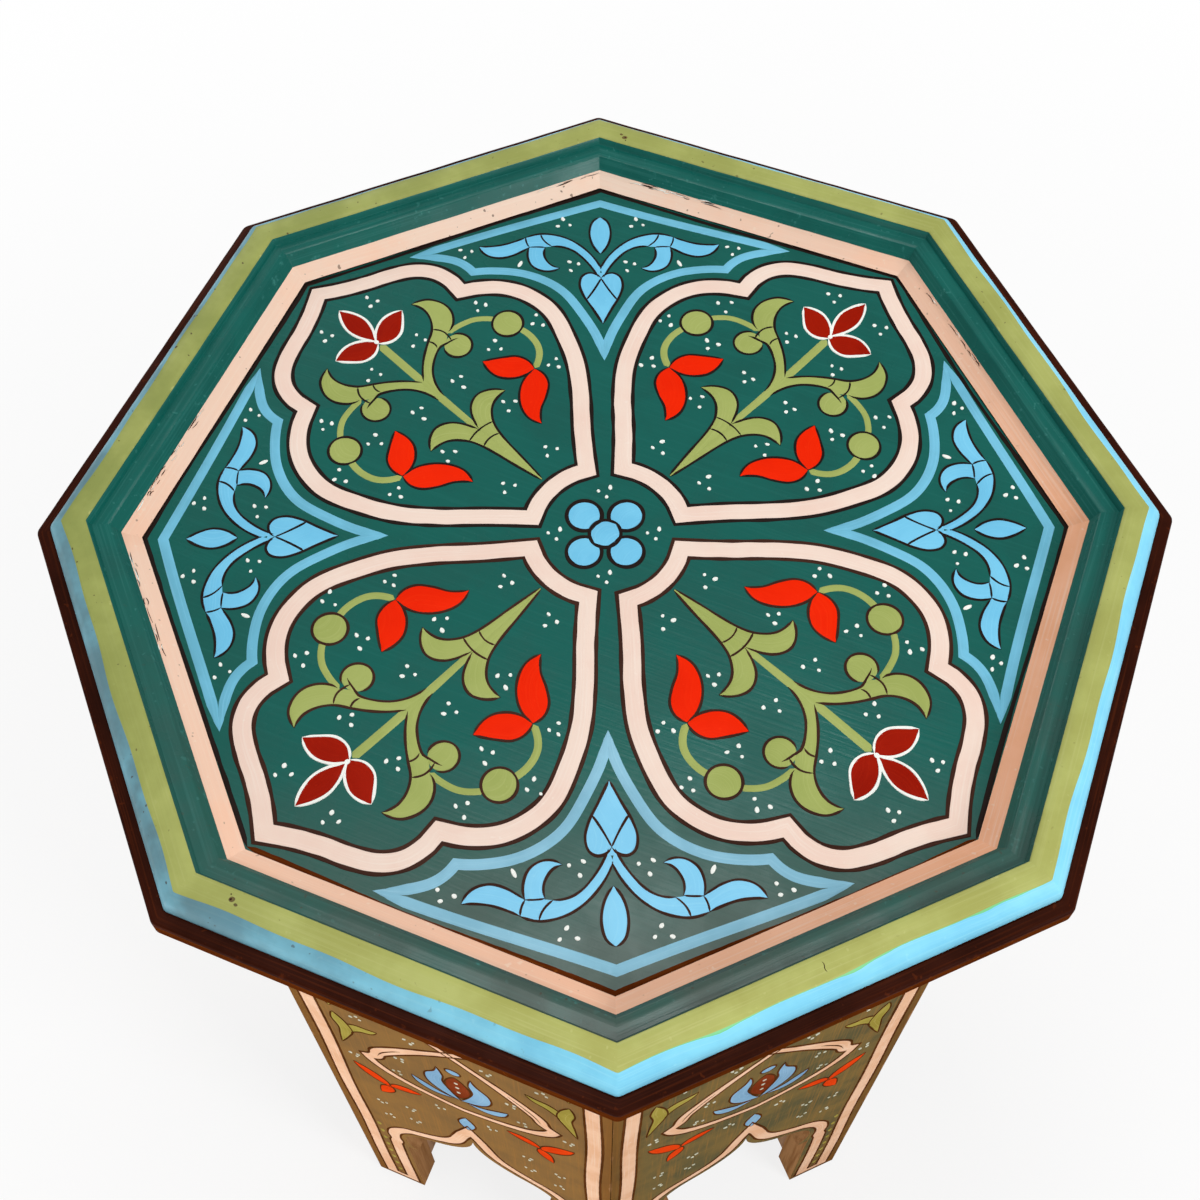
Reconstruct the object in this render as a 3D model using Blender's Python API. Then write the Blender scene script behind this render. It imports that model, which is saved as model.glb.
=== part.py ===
"""Octagonal painted side table with a moulded tray rim and arched side boards.

Units are metres, +Z is up. The origin is the centre of the table on the floor,
and one flat of the octagon faces each of +X, -X, +Y and -Y.
"""

import math

import bmesh
import bpy
from mathutils import Matrix, Vector

# Overall sizes
TABLE_HEIGHT = 0.500
RIM_SPAN = 0.398
RIM_OVERHANG = 0.028

# Rim moulding: outer edge, quarter round, flat top, then two steps down to the panel
RIM_THICKNESS = 0.016
EDGE_ROUND = 0.0012
LEDGE_WIDTH = 0.0053
LEDGE_DROP = 0.0080
OVOLO_RADIUS = 0.0072
TOP_FLAT = 0.0064
FIRST_RISER_RUN = 0.0014
FIRST_RISER_DROP = 0.0034
TREAD_WIDTH = 0.0066
SECOND_RISER_RUN = 0.0025
SECOND_RISER_DROP = 0.0058
SLOPE_RUN = 0.0064
SLOPE_DROP = 0.0040
TOE_THICKNESS = 0.0006
REBATE_INSET = 0.024

# Top panel, side boards and the posts inside the corners
PANEL_THICKNESS = 0.012
BOARD_THICKNESS = 0.014
POST_LEG = 0.018
POST_DEPTH = 0.016

# Moorish arch cut from the foot of each side board
ARCH_WIDTH = 0.086
ARCH_CENTRE_HEIGHT = 0.120
ARCH_LOBE_SPAN = 0.084
ARCH_LOBE_RADIUS = 0.030
ARCH_RISE = 0.070
ARCH_CUSP_ANGLE = math.radians(35.0)

# Gap between two pieces that are glued face to face
GLUE_GAP = 0.0003

# Arc resolution, in segments
ROUND_STEPS = 3
OVOLO_STEPS = 8
LOBE_STEPS = 12
OGEE_STEPS = 10

SIDES = 8
HALF_ANGLE = math.pi / SIDES
SIDE_NAMES = (
    "front",
    "front_right",
    "right",
    "back_right",
    "back",
    "back_left",
    "left",
    "front_left",
)

# Levels and reaches that follow from the sizes above
RIM_APOTHEM = RIM_SPAN / 2
BODY_APOTHEM = RIM_APOTHEM - RIM_OVERHANG
PANEL_APOTHEM = RIM_APOTHEM - REBATE_INSET
SEAT_DROP = FIRST_RISER_DROP + SECOND_RISER_DROP + SLOPE_DROP + TOE_THICKNESS
PANEL_TOP = TABLE_HEIGHT - SEAT_DROP - GLUE_GAP
PANEL_BOTTOM = PANEL_TOP - PANEL_THICKNESS
BOARD_TOP = PANEL_BOTTOM - GLUE_GAP

# Paint and wood: colour, roughness
FINISHES = {
    "green_paint": ((0.008, 0.115, 0.080, 1.0), 0.38),
    "olive_paint": ((0.434, 0.515, 0.122, 1.0), 0.42),
    "blue_paint": ((0.156, 0.565, 0.913, 1.0), 0.40),
    "brown_paint": ((0.042, 0.010, 0.006, 1.0), 0.45),
    "cream_paint": ((0.896, 0.672, 0.552, 1.0), 0.45),
    "body_paint": ((0.060, 0.085, 0.050, 1.0), 0.42),
    "bare_wood": ((0.420, 0.240, 0.110, 1.0), 0.70),
}


def clear_scene():
    """Remove every object so that the script can run in any file."""
    for item in list(bpy.data.objects):
        bpy.data.objects.remove(item, do_unlink=True)


def make_materials():
    """Return one Principled material for each finish, by name."""
    materials = {}
    for name, (colour, roughness) in FINISHES.items():
        material = bpy.data.materials.new(name)
        material.use_nodes = True
        shader = material.node_tree.nodes["Principled BSDF"]
        shader.inputs["Base Color"].default_value = colour
        shader.inputs["Roughness"].default_value = roughness
        shader.inputs["Metallic"].default_value = 0.0
        material.diffuse_color = colour
        materials[name] = material
    return materials


def arc(centre, radius, start, end, steps):
    """Return points on a circle from the start angle to the end angle, both ends included."""
    points = []
    for step in range(steps + 1):
        angle = start + (end - start) * step / steps
        points.append((centre[0] + radius * math.cos(angle), centre[1] + radius * math.sin(angle)))
    return points


def loft(name, first, last, slots, parent, bands=None):
    """Join two matching closed loops of points into one solid.

    bands gives the material slot of the side face that leaves each point of the loop.
    """
    mesh = bpy.data.meshes.new(name)
    solid = bmesh.new()
    loop_a = [solid.verts.new(point) for point in first]
    loop_b = [solid.verts.new(point) for point in last]
    count = len(loop_a)
    for index in range(count):
        after = (index + 1) % count
        face = solid.faces.new((loop_a[index], loop_a[after], loop_b[after], loop_b[index]))
        if bands:
            face.material_index = bands[index]
    solid.faces.new(loop_a)
    solid.faces.new(loop_b)
    bmesh.ops.recalc_face_normals(solid, faces=solid.faces)
    solid.to_mesh(mesh)
    solid.free()
    for material in slots:
        mesh.materials.append(material)
    piece = bpy.data.objects.new(name, mesh)
    bpy.context.scene.collection.objects.link(piece)
    piece.parent = parent
    return piece


def side_turn(index):
    """Return the turn about Z that carries the front side to the given side."""
    return index * 2 * HALF_ANGLE


def rim_profile():
    """Return the rim's section as (apothem, height) points, and the finish that leaves each point."""
    top = TABLE_HEIGHT
    edge = RIM_APOTHEM
    ledge = top - LEDGE_DROP
    foot = top - RIM_THICKNESS
    seat = top - SEAT_DROP
    rebate = PANEL_APOTHEM + GLUE_GAP
    outline = []

    def run(finish, points):
        for point in points:
            outline.append((point, finish))

    round_centre = (edge - EDGE_ROUND, ledge - EDGE_ROUND)
    run("brown_paint", [(rebate, foot), (edge, foot)])
    run("brown_paint", arc(round_centre, EDGE_ROUND, 0.0, math.pi / 2, ROUND_STEPS))
    nose = edge - LEDGE_WIDTH
    run("brown_paint", [(nose, ledge)])
    ovolo_centre = (nose - OVOLO_RADIUS, top - OVOLO_RADIUS)
    quarter = arc(ovolo_centre, OVOLO_RADIUS, 0.0, math.pi / 2, OVOLO_STEPS)
    run("blue_paint", quarter[:-1])
    run("olive_paint", quarter[-1:])
    reach = nose - OVOLO_RADIUS - TOP_FLAT
    level = top
    run("green_paint", [(reach, level)])
    reach -= FIRST_RISER_RUN
    level -= FIRST_RISER_DROP
    run("green_paint", [(reach, level)])
    reach -= TREAD_WIDTH
    run("green_paint", [(reach, level)])
    reach -= SECOND_RISER_RUN
    level -= SECOND_RISER_DROP
    run("cream_paint", [(reach, level)])
    reach -= SLOPE_RUN
    level -= SLOPE_DROP
    run("brown_paint", [(reach, level)])
    run("brown_paint", [(reach, seat), (rebate, seat)])
    return outline


def make_rim(materials, parent):
    """Make eight lengths of moulding, mitred where they meet."""
    outline = rim_profile()
    names = ["brown_paint", "blue_paint", "olive_paint", "green_paint", "cream_paint"]
    slots = [materials[name] for name in names]
    bands = [names.index(finish) for _, finish in outline]
    mitre_back = GLUE_GAP / 2 / math.cos(HALF_ANGLE)
    left = []
    right = []
    for (apothem, height), _ in outline:
        half = apothem * math.tan(HALF_ANGLE) - mitre_back
        left.append(Vector((-half, -apothem, height)))
        right.append(Vector((half, -apothem, height)))
    for index, side in enumerate(SIDE_NAMES):
        piece = loft("rim_moulding_" + side, left, right, slots, parent, bands)
        piece.rotation_euler.z = side_turn(index)


def make_panel(materials, parent):
    """Make the octagonal panel that the rim sits on."""
    radius = PANEL_APOTHEM / math.cos(HALF_ANGLE)
    corners = []
    for index in range(SIDES):
        angle = HALF_ANGLE + side_turn(index)
        corners.append((radius * math.cos(angle), radius * math.sin(angle)))
    lower = [Vector((x, y, PANEL_BOTTOM)) for x, y in corners]
    upper = [Vector((x, y, PANEL_TOP)) for x, y in corners]
    loft("top_panel", lower, upper, [materials["green_paint"]], parent)


def arch_outline():
    """Return the right half of the arch from the floor up to its point.

    A straight jamb ends under a small cusp. A round lobe swells out above the cusp
    and runs, tangent, into a reverse curve that ends upright at the point.
    """
    lobe_centre = (ARCH_LOBE_SPAN / 2 - ARCH_LOBE_RADIUS, ARCH_CENTRE_HEIGHT)
    point_height = ARCH_CENTRE_HEIGHT + ARCH_RISE
    half_span = ARCH_LOBE_SPAN / 2
    inset = lobe_centre[0]
    ogee_radius = (ARCH_RISE**2 - half_span * (ARCH_LOBE_RADIUS - inset)) / (2 * half_span)
    ogee_centre = (ogee_radius, point_height)
    meet = math.atan2(ogee_centre[1] - lobe_centre[1], ogee_centre[0] - lobe_centre[0])
    lobe = arc(lobe_centre, ARCH_LOBE_RADIUS, -ARCH_CUSP_ANGLE, meet, LOBE_STEPS)
    ogee = arc(ogee_centre, ogee_radius, meet + math.pi, math.pi, OGEE_STEPS)
    jamb = ARCH_WIDTH / 2
    return [(jamb, 0.0), (jamb, lobe[0][1])] + lobe + ogee[1:]


def make_side_boards(materials, parent):
    """Make eight side boards with mitred edges and an arch at the foot."""
    right = arch_outline()
    left = [(-across, height) for across, height in reversed(right[:-1])]
    arch = right + left
    mitre_back = GLUE_GAP / 2 / math.cos(HALF_ANGLE)
    inner_apothem = BODY_APOTHEM - BOARD_THICKNESS
    faces = []
    for apothem in (BODY_APOTHEM, inner_apothem):
        half = apothem * math.tan(HALF_ANGLE) - mitre_back
        outline = [(-half, 0.0), (-half, BOARD_TOP), (half, BOARD_TOP), (half, 0.0)] + arch
        faces.append([Vector((across, -apothem, height)) for across, height in outline])
    for index, side in enumerate(SIDE_NAMES):
        piece = loft("side_board_" + side, faces[0], faces[1], [materials["body_paint"]], parent)
        piece.rotation_euler.z = side_turn(index)


def make_corner_posts(materials, parent):
    """Make eight posts, one glued into each inside corner of the body."""
    seat_apothem = BODY_APOTHEM - BOARD_THICKNESS - GLUE_GAP
    corner = Vector((seat_apothem * math.tan(HALF_ANGLE), -seat_apothem))
    along_front = Vector((-1.0, 0.0))
    into_body = Vector((0.0, 1.0))
    to_next = Matrix.Rotation(2 * HALF_ANGLE, 2)
    along_next = to_next @ -along_front
    into_next = to_next @ into_body
    front_end = corner + along_front * POST_LEG
    next_end = corner + along_next * POST_LEG
    plan = [corner, next_end, next_end + into_next * POST_DEPTH, front_end + into_body * POST_DEPTH, front_end]
    lower = [Vector((point.x, point.y, 0.0)) for point in plan]
    upper = [Vector((point.x, point.y, BOARD_TOP)) for point in plan]
    for index in range(SIDES):
        piece = loft(f"corner_post_{index + 1}", lower, upper, [materials["bare_wood"]], parent)
        piece.rotation_euler.z = side_turn(index)


def main():
    """Build the whole table under one empty."""
    clear_scene()
    materials = make_materials()
    table = bpy.data.objects.new("side_table", None)
    bpy.context.scene.collection.objects.link(table)
    make_panel(materials, table)
    make_rim(materials, table)
    make_side_boards(materials, table)
    make_corner_posts(materials, table)


if __name__ == "__main__":
    main()
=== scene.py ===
"""Looks of the octagonal painted side table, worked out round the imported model.

Lengths in the classes are millimetres unless a name says metres. A painted motif is drawn flat:
x runs to the right and y outwards from the middle of the panel, or upwards on a side board.
"""

import logging
import math
from abc import ABC, abstractmethod
from dataclasses import dataclass
from enum import Enum
from typing import Optional, Sequence, Union

import bpy
import numpy as np
from mathutils import Matrix, Quaternion, Vector


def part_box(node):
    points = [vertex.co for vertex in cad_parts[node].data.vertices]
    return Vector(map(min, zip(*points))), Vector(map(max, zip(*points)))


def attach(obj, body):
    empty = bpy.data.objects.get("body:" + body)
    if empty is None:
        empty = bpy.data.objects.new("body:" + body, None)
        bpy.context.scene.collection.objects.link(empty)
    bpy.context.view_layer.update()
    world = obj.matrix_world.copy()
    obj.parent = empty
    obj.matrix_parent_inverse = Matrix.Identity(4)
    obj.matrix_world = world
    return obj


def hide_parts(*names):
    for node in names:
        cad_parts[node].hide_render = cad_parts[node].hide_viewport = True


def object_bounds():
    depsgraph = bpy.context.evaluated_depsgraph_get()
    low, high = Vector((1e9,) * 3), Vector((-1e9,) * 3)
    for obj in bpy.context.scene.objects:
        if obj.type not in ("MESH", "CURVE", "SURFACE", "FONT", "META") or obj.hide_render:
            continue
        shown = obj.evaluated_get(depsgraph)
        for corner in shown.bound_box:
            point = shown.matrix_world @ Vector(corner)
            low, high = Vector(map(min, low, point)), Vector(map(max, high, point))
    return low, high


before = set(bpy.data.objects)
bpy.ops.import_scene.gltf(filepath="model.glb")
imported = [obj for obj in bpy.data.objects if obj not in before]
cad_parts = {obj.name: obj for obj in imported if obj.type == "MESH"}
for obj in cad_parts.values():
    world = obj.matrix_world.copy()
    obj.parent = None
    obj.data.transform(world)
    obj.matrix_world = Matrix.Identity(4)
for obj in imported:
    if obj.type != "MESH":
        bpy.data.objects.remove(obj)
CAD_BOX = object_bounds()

LOG = logging.getLogger("side_table")
MM = 0.001
SIDES = 8
TURN = math.tau / SIDES
HALF_TURN = TURN / 2
SIDE_NAMES = ("front", "front_right", "right", "back_right", "back", "back_left", "left", "front_left")
BODY = "root"
WEAR = "wear"
UP = (0.0, 0.0, 1.0)
TINY = 1e-6
MITRE_LIMIT = 0.38
SHARP_ANGLE = math.radians(38.0)

Array = np.ndarray
Point = tuple[float, float]
Line = Sequence[Point]
Place = tuple[float, float, float]
Width = Union[float, Sequence[float]]
Number = Union[float, Array]
Socket = bpy.types.NodeSocket


def linear(code: str) -> tuple[float, float, float, float]:
    """Return a "#rrggbb" screen colour as the linear red, green, blue and alpha that a socket takes."""
    parts = np.array([int(code[i : i + 2], 16) for i in (1, 3, 5)]) / 255.0
    red, green, blue = np.where(parts <= 0.04045, parts / 12.92, ((parts + 0.055) / 1.055) ** 2.4)
    return float(red), float(green), float(blue), 1.0


def distances(line: Array) -> Array:
    """Return how far along the line each of its points is."""
    return np.concatenate([[0.0], np.cumsum(np.linalg.norm(np.diff(line, axis=0), axis=1))])


def pick(line: Array, known: Array, wanted: Array) -> Array:
    """Return the line's points at wanted places, where known has the places of its own points."""
    return np.stack([np.interp(wanted, known, line[:, axis]) for axis in (0, 1)], axis=1)


def even(line: Array, step: float) -> Array:
    """Return the line with points about a step apart, four of them or more, both ends included."""
    places = distances(line)
    count = max(math.ceil(places[-1] / step), 3) + 1
    return pick(line, places, np.linspace(0.0, places[-1], count))


def smooth(points: Line, step: float = 1.2) -> Array:
    """Return a smooth line through the points.

    Each span is a cubic from one point to the next. The slope at a point is the mean of the slopes
    of the two chords that meet there, each weighed by the root of the other's length.

    Args:
        points: The points that the line goes through.
        step: The distance between the points of the result.

    Returns:
        The line as an array of points.
    """
    knots = np.asarray(points, float)
    if len(knots) == 2:
        return even(knots, step)
    chords = np.diff(knots, axis=0)
    gaps = np.sqrt(np.linalg.norm(chords, axis=1))[:, None]
    slopes = chords / gaps
    inner = (gaps[1:] * slopes[:-1] + gaps[:-1] * slopes[1:]) / (gaps[1:] + gaps[:-1])
    tangents = np.vstack([2 * slopes[:1] - inner[:1], inner, 2 * slopes[-1:] - inner[-1:]])
    t = np.linspace(0.0, 1.0, 16, endpoint=False)[None, :, None]
    start, end = knots[:-1, None], knots[1:, None]
    leave, arrive = (tangents[:-1] * gaps)[:, None], (tangents[1:] * gaps)[:, None]
    curve = (2 * t**3 - 3 * t**2 + 1) * start + (t**3 - 2 * t**2 + t) * leave
    curve = curve + (3 * t**2 - 2 * t**3) * end + (t**3 - t**2) * arrive
    return even(np.vstack([curve.reshape(-1, 2), knots[-1:]]), step)


def arc(centre: Point, radius: float, start: float, end: float, step: float = 1.2) -> Array:
    """Return points about a step apart on a circle, from one angle in degrees to another."""
    count = max(int(abs(math.radians(end - start)) * radius / step), 6) + 1
    angles = np.radians(np.linspace(start, end, count))
    return np.asarray(centre) + radius * np.stack([np.cos(angles), np.sin(angles)], axis=1)


def join(*lines: Array) -> Array:
    """Return lines that share their end points as one line."""
    return np.vstack([lines[0]] + [line[1:] for line in lines[1:]])


def mirror(line: Array) -> Array:
    """Return the line mirrored left to right."""
    return np.asarray(line, float) * (-1.0, 1.0)


def both_sides(line: Line) -> tuple[Array, Array]:
    """Return a drawn line and its mirror image."""
    return np.asarray(line, float), mirror(line)


def loop_of_halves(half: Array) -> Array:
    """Return the closed line of a right half, from foot to tip on the axis, and its mirrored left half."""
    return np.vstack([half, mirror(half)[::-1][1:-1]])


def placed(line: Line, up: float, base: float) -> Array:
    """Return a line set upright, or upside down where up is minus one, from a base level."""
    return np.asarray(line, float) * (1.0, up) + (0.0, base)


def clear_corners(line: Array, corners: Line, reach: float) -> Array:
    """Return the line without the points that crowd its corners, so that an offset doesn't loop there."""
    away = np.linalg.norm(line[:, None] - np.asarray(corners, float)[None], axis=2).min(axis=1)
    return line[(away >= reach) | (away < TINY)]


def left_normals(line: Array, closed: bool) -> Array:
    """Return the vector to the left of the line at each point, mitred where the line bends.

    The vector is the mean of the normals of the two spans that meet, made longer by one over the
    cosine of half the bend.

    Args:
        line: Points of the line.
        closed: Whether the last point joins the first.

    Returns:
        One vector for each point.
    """
    spans = np.diff(np.vstack([line, line[:1]]) if closed else line, axis=0)
    unit = spans / np.maximum(np.linalg.norm(spans, axis=1), TINY * MM)[:, None]
    left = np.stack([-unit[:, 1], unit[:, 0]], axis=1)
    if closed:
        both = left + np.roll(left, 1, axis=0)
    else:
        both = np.vstack([left, left[-1:]]) + np.vstack([left[:1], left])
    return 2 * both / np.maximum((both**2).sum(axis=1), MITRE_LIMIT)[:, None]


def tube_faces(rows: int, columns: int, closed: bool, start: int = 0) -> list[list[int]]:
    """Return the faces of a grid that wraps round its columns, with a cap on each open end.

    Args:
        rows: Number of rows, whose points are numbered one row after the other.
        columns: Number of points in a row.
        closed: Whether the last row joins the first.
        start: Number of the first point.

    Returns:
        Lists of point numbers: the cells row by row, then the caps.
    """
    i = np.arange(rows if closed else rows - 1)[:, None]
    j = np.arange(columns)[None, :]
    next_i, next_j = (i + 1) % rows, (j + 1) % columns
    corners = [i * columns + j, i * columns + next_j, next_i * columns + next_j, next_i * columns + j]
    faces = (np.stack(corners, axis=-1).reshape(-1, 4) + start).tolist()
    if not closed:
        ring = np.arange(start, start + columns)
        faces += [ring[::-1].tolist(), (ring + (rows - 1) * columns).tolist()]
    return faces


def add_object(name: str, data: bpy.types.ID) -> bpy.types.Object:
    """Put data into a new object of the scene."""
    item = bpy.data.objects.new(name, data)
    bpy.context.scene.collection.objects.link(item)
    return item


def make_piece(
    name: str,
    points: Array,
    faces: list[list[int]],
    uv: Array,
    materials: Sequence[bpy.types.Material],
    slot: str,
    finish_of_face: Optional[Array] = None,
    **values: Array,
) -> bpy.types.Object:
    """Put a worked-out surface into a mesh object that rides on the table.

    Args:
        name: The piece's name.
        points: Corner points in metres.
        faces: Lists of point numbers.
        uv: Place of each point on the flattened surface, in metres.
        materials: The piece's materials.
        slot: The record's material slot, not used.
        finish_of_face: Which material each face has, where there are several.
        values: Numbers for each point by name, such as how far its paint is rubbed, from zero to one.

    Returns:
        The new object.
    """
    mesh = bpy.data.meshes.new(name)
    mesh.from_pydata(points, [], faces)
    corner = np.empty(len(mesh.loops), np.int32)
    mesh.loops.foreach_get("vertex_index", corner)
    layer = mesh.uv_layers.new(name="brush")
    layer.data.foreach_set("uv", np.ascontiguousarray(uv[corner], np.float32).ravel())
    mesh.polygons.foreach_set("use_smooth", np.ones(len(mesh.polygons), bool))
    if finish_of_face is not None:
        mesh.polygons.foreach_set("material_index", np.asarray(finish_of_face, np.int32))
    for title, numbers in values.items():
        held = mesh.attributes.new(title, "FLOAT", "POINT")
        held.data.foreach_set("value", np.ascontiguousarray(numbers, np.float32))
    mesh.set_sharp_from_angle(angle=SHARP_ANGLE)
    for material in materials:
        mesh.materials.append(material)
    mesh.update()
    piece = add_object(name, mesh)
    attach(piece, BODY)
    return piece


def dress_node(node: str, material: bpy.types.Material) -> None:
    """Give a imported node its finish."""
    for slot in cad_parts[node].material_slots:
        slot.material = material


class Follow(Enum):
    """What a finish's pattern follows."""

    SOLID = "Object"
    BRUSH = "UV"


class Sheet:
    """The nodes of a material or a world, with short ways to add those that the finishes share."""

    def __init__(self, owner: Union[bpy.types.Material, bpy.types.World]) -> None:
        """Start the owner's nodes."""
        owner.use_nodes = True
        self.owner = owner
        self.nodes, self.links = owner.node_tree.nodes, owner.node_tree.links

    def feed(self, socket: Socket, value: object) -> None:
        """Link a socket to another, or set it to a screen colour or a plain value."""
        if isinstance(value, Socket):
            self.links.new(value, socket)
        else:
            socket.default_value = linear(value) if isinstance(value, str) else value

    def add(self, kind: str, out: Union[int, str], inputs: Optional[dict] = None, **settings: str) -> Socket:
        """Add a node and return one of its outputs.

        Args:
            kind: The node's type, without the word that all shader nodes' types start with.
            out: The output that is wanted.
            inputs: What goes into its inputs, by name or number.
            settings: The node's own settings.

        Returns:
            The output socket.
        """
        node = self.nodes.new(f"ShaderNode{kind}")
        for name, setting in settings.items():
            setattr(node, name, setting)
        for key, value in (inputs or {}).items():
            self.feed(node.inputs[key], value)
        return node.outputs[out]

    def place(self, follow: Follow, scale: Sequence[float]) -> Socket:
        """Return coordinates stretched to so many waves for each metre along x, y and z."""
        return self.add("Mapping", "Vector", {"Vector": self.add("TexCoord", follow.value), "Scale": scale})

    def attribute(self, name: str) -> Socket:
        """Return a value that the piece holds at its points, or zero where it holds none."""
        return self.add("Attribute", "Fac", attribute_name=name)

    def product(self, first: Socket, second: Union[Socket, Place]) -> Socket:
        """Return the dot product of two vectors."""
        return self.add("VectorMath", "Value", {0: first, 1: second}, operation="DOT_PRODUCT")

    def facing(self, direction: Optional[Place] = None) -> Socket:
        """Return how far a face looks in a direction, or away from the middle where none is given."""
        return self.product(self.add("TexCoord", "Normal"), direction or self.add("TexCoord", "Object"))

    def toward(self, direction: Place) -> Socket:
        """Return how far a point lies from the table's middle in a direction."""
        return self.product(self.add("TexCoord", "Object"), direction)

    def off_axis(self) -> Socket:
        """Return a point's distance from the table's upright axis."""
        level = self.place(Follow.SOLID, (1.0, 1.0, 0.0))
        return self.add("VectorMath", "Value", {0: level}, operation="LENGTH")

    def noise(self, follow: Follow, scale: Sequence[float], detail: float, rough: float) -> Socket:
        """Return noise with so many waves for each metre."""
        inputs = {"Vector": self.place(follow, scale), "Scale": 1.0, "Detail": detail, "Roughness": rough}
        return self.add("TexNoise", "Fac", inputs)

    def span(self, value: Socket, low: float, high: float, least: float, most: float) -> Socket:
        """Return a value carried smoothly from least at low to most at high, and held beyond."""
        inputs = {"Value": value, "From Min": low, "From Max": high, "To Min": least, "To Max": most}
        return self.add("MapRange", "Result", inputs, interpolation_type="SMOOTHSTEP")

    def math(self, kind: str, first: Socket, second: Union[float, Socket]) -> Socket:
        """Return one sum of two values."""
        return self.add("Math", 0, {0: first, 1: second}, operation=kind)

    def mix(self, share: Socket, first: Union[str, Socket], second: Union[str, Socket]) -> Socket:
        """Return a colour between two colours, by the second one's share."""
        return self.add("Mix", 2, {0: share, 6: first, 7: second}, data_type="RGBA")

    def blend(self, output: str, share: Socket, first: Socket, second: Socket) -> None:
        """Send a mixture of two shaders to the output."""
        blend = self.add("MixShader", 0, {0: share, 1: first, 2: second})
        self.feed(self.nodes[output].inputs["Surface"], blend)

    def dress(self, colour: object, roughness: object, gloss: object) -> bpy.types.Material:
        """Send colour, roughness and gloss to the shader and return the material."""
        shader = self.nodes["Principled BSDF"].inputs
        for name, value in (("Base Color", colour), ("Roughness", roughness), ("Specular IOR Level", gloss)):
            self.feed(shader[name], value)
        return self.owner

    def bump(self, height: Socket, depth: float = 0.00025, strength: float = 0.22) -> None:
        """Raise the surface by a height, in metres at full strength."""
        inputs = {"Strength": strength, "Distance": depth, "Height": height}
        self.feed(self.nodes["Principled BSDF"].inputs["Normal"], self.add("Bump", "Normal", inputs))

    def seen(self) -> Socket:
        """Return one for rays from the camera, by reflection or through glass, and zero for light."""
        camera, glossy, through = (
            self.add("LightPath", f"Is {kind} Ray") for kind in ("Camera", "Glossy", "Transmission")
        )
        return self.math("MAXIMUM", self.math("MAXIMUM", camera, glossy), through)


def new_sheet(name: str) -> Sheet:
    """Return the nodes of a new material."""
    return Sheet(bpy.data.materials.new(name))


@dataclass(frozen=True)
class PaintFinish:
    """A brushed coat of paint with cloudy patches, brush hairs and small rubbed specks."""

    name: str
    colour: str
    deep: str
    rubbed: str
    roughness: float = 0.44
    gloss: float = 0.06
    cloud: float = 0.6
    hair: float = 0.3
    speck: float = 0.2
    age_and_light_tint: str = ""
    grime: str = "#4a3424"

    def coat(self, sheet: Sheet, follow: Follow, grain: Sequence[float]) -> tuple[Socket, Socket, Socket]:
        """Return the paint's colour, roughness and height on a sheet of nodes.

        Args:
            sheet: The material's nodes.
            follow: Whether the brush marks follow the solid or the stroke.
            grain: Brush hairs for each metre along x, y and z.

        Returns:
            The three sockets.
        """
        cloud = sheet.noise(Follow.SOLID, (34.0, 34.0, 34.0), 4.0, 0.6)
        hairs = sheet.noise(follow, grain, 2.0, 0.6)
        specks = sheet.noise(Follow.SOLID, (420.0, 420.0, 420.0), 1.0, 0.5)
        scrape = sheet.noise(Follow.SOLID, (160.0, 160.0, 160.0), 4.0, 0.7)
        colour = sheet.mix(sheet.span(cloud, 0.36, 0.66, 0.0, self.cloud), self.colour, self.deep)
        colour = sheet.mix(sheet.span(hairs, 0.48, 0.72, 0.0, self.hair), colour, self.rubbed)
        colour = sheet.mix(sheet.span(specks, 0.70, 0.76, 0.0, self.speck), colour, self.rubbed)
        # The tint follows a value held at each point: the olive's own browning, painted light on the pale
        # slope, painted shade on the blue and a painted sheen on the teal.
        if self.age_and_light_tint:
            age_and_light = sheet.attribute(self.age_and_light_name())
            patchy = sheet.math("MULTIPLY", age_and_light, sheet.span(cloud, 0.30, 0.60, 0.64, 1.0))
            dirty = sheet.math("MULTIPLY", age_and_light, sheet.span(specks, 0.28, 0.23, 0.0, 0.9))
            colour = sheet.mix(dirty, sheet.mix(patchy, colour, self.age_and_light_tint), self.grime)
        worn = sheet.math("ADD", sheet.attribute(WEAR), scrape)
        colour = sheet.mix(sheet.span(worn, 1.38, 1.56, 0.0, 0.8), colour, self.rubbed)
        roughness = sheet.span(cloud, 0.3, 0.7, self.roughness - 0.06, self.roughness + 0.08)
        return colour, roughness, sheet.math("ADD", hairs, sheet.math("MULTIPLY", specks, 0.4))

    def age_and_light_name(self) -> str:
        """Return the name of the value that says how far this paint takes its tint at a point: browning on
        the olive, painted light on the pale slope, painted shade on the blue and a painted sheen on the teal.
        """
        return f"{self.name}_age"

    def material(self, follow: Follow, grain: Sequence[float]) -> bpy.types.Material:
        """Return the paint as a material, made once for each way of following.

        Args:
            follow: Whether the brush marks follow the solid or the stroke.
            grain: Brush hairs for each metre along x, y and z.

        Returns:
            The material.
        """
        name = f"{self.name}_{follow.name.lower()}"
        if name in bpy.data.materials:
            return bpy.data.materials[name]
        sheet = new_sheet(name)
        colour, roughness, height = self.coat(sheet, follow, grain)
        sheet.bump(height)
        return sheet.dress(colour, roughness, self.gloss)


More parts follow.
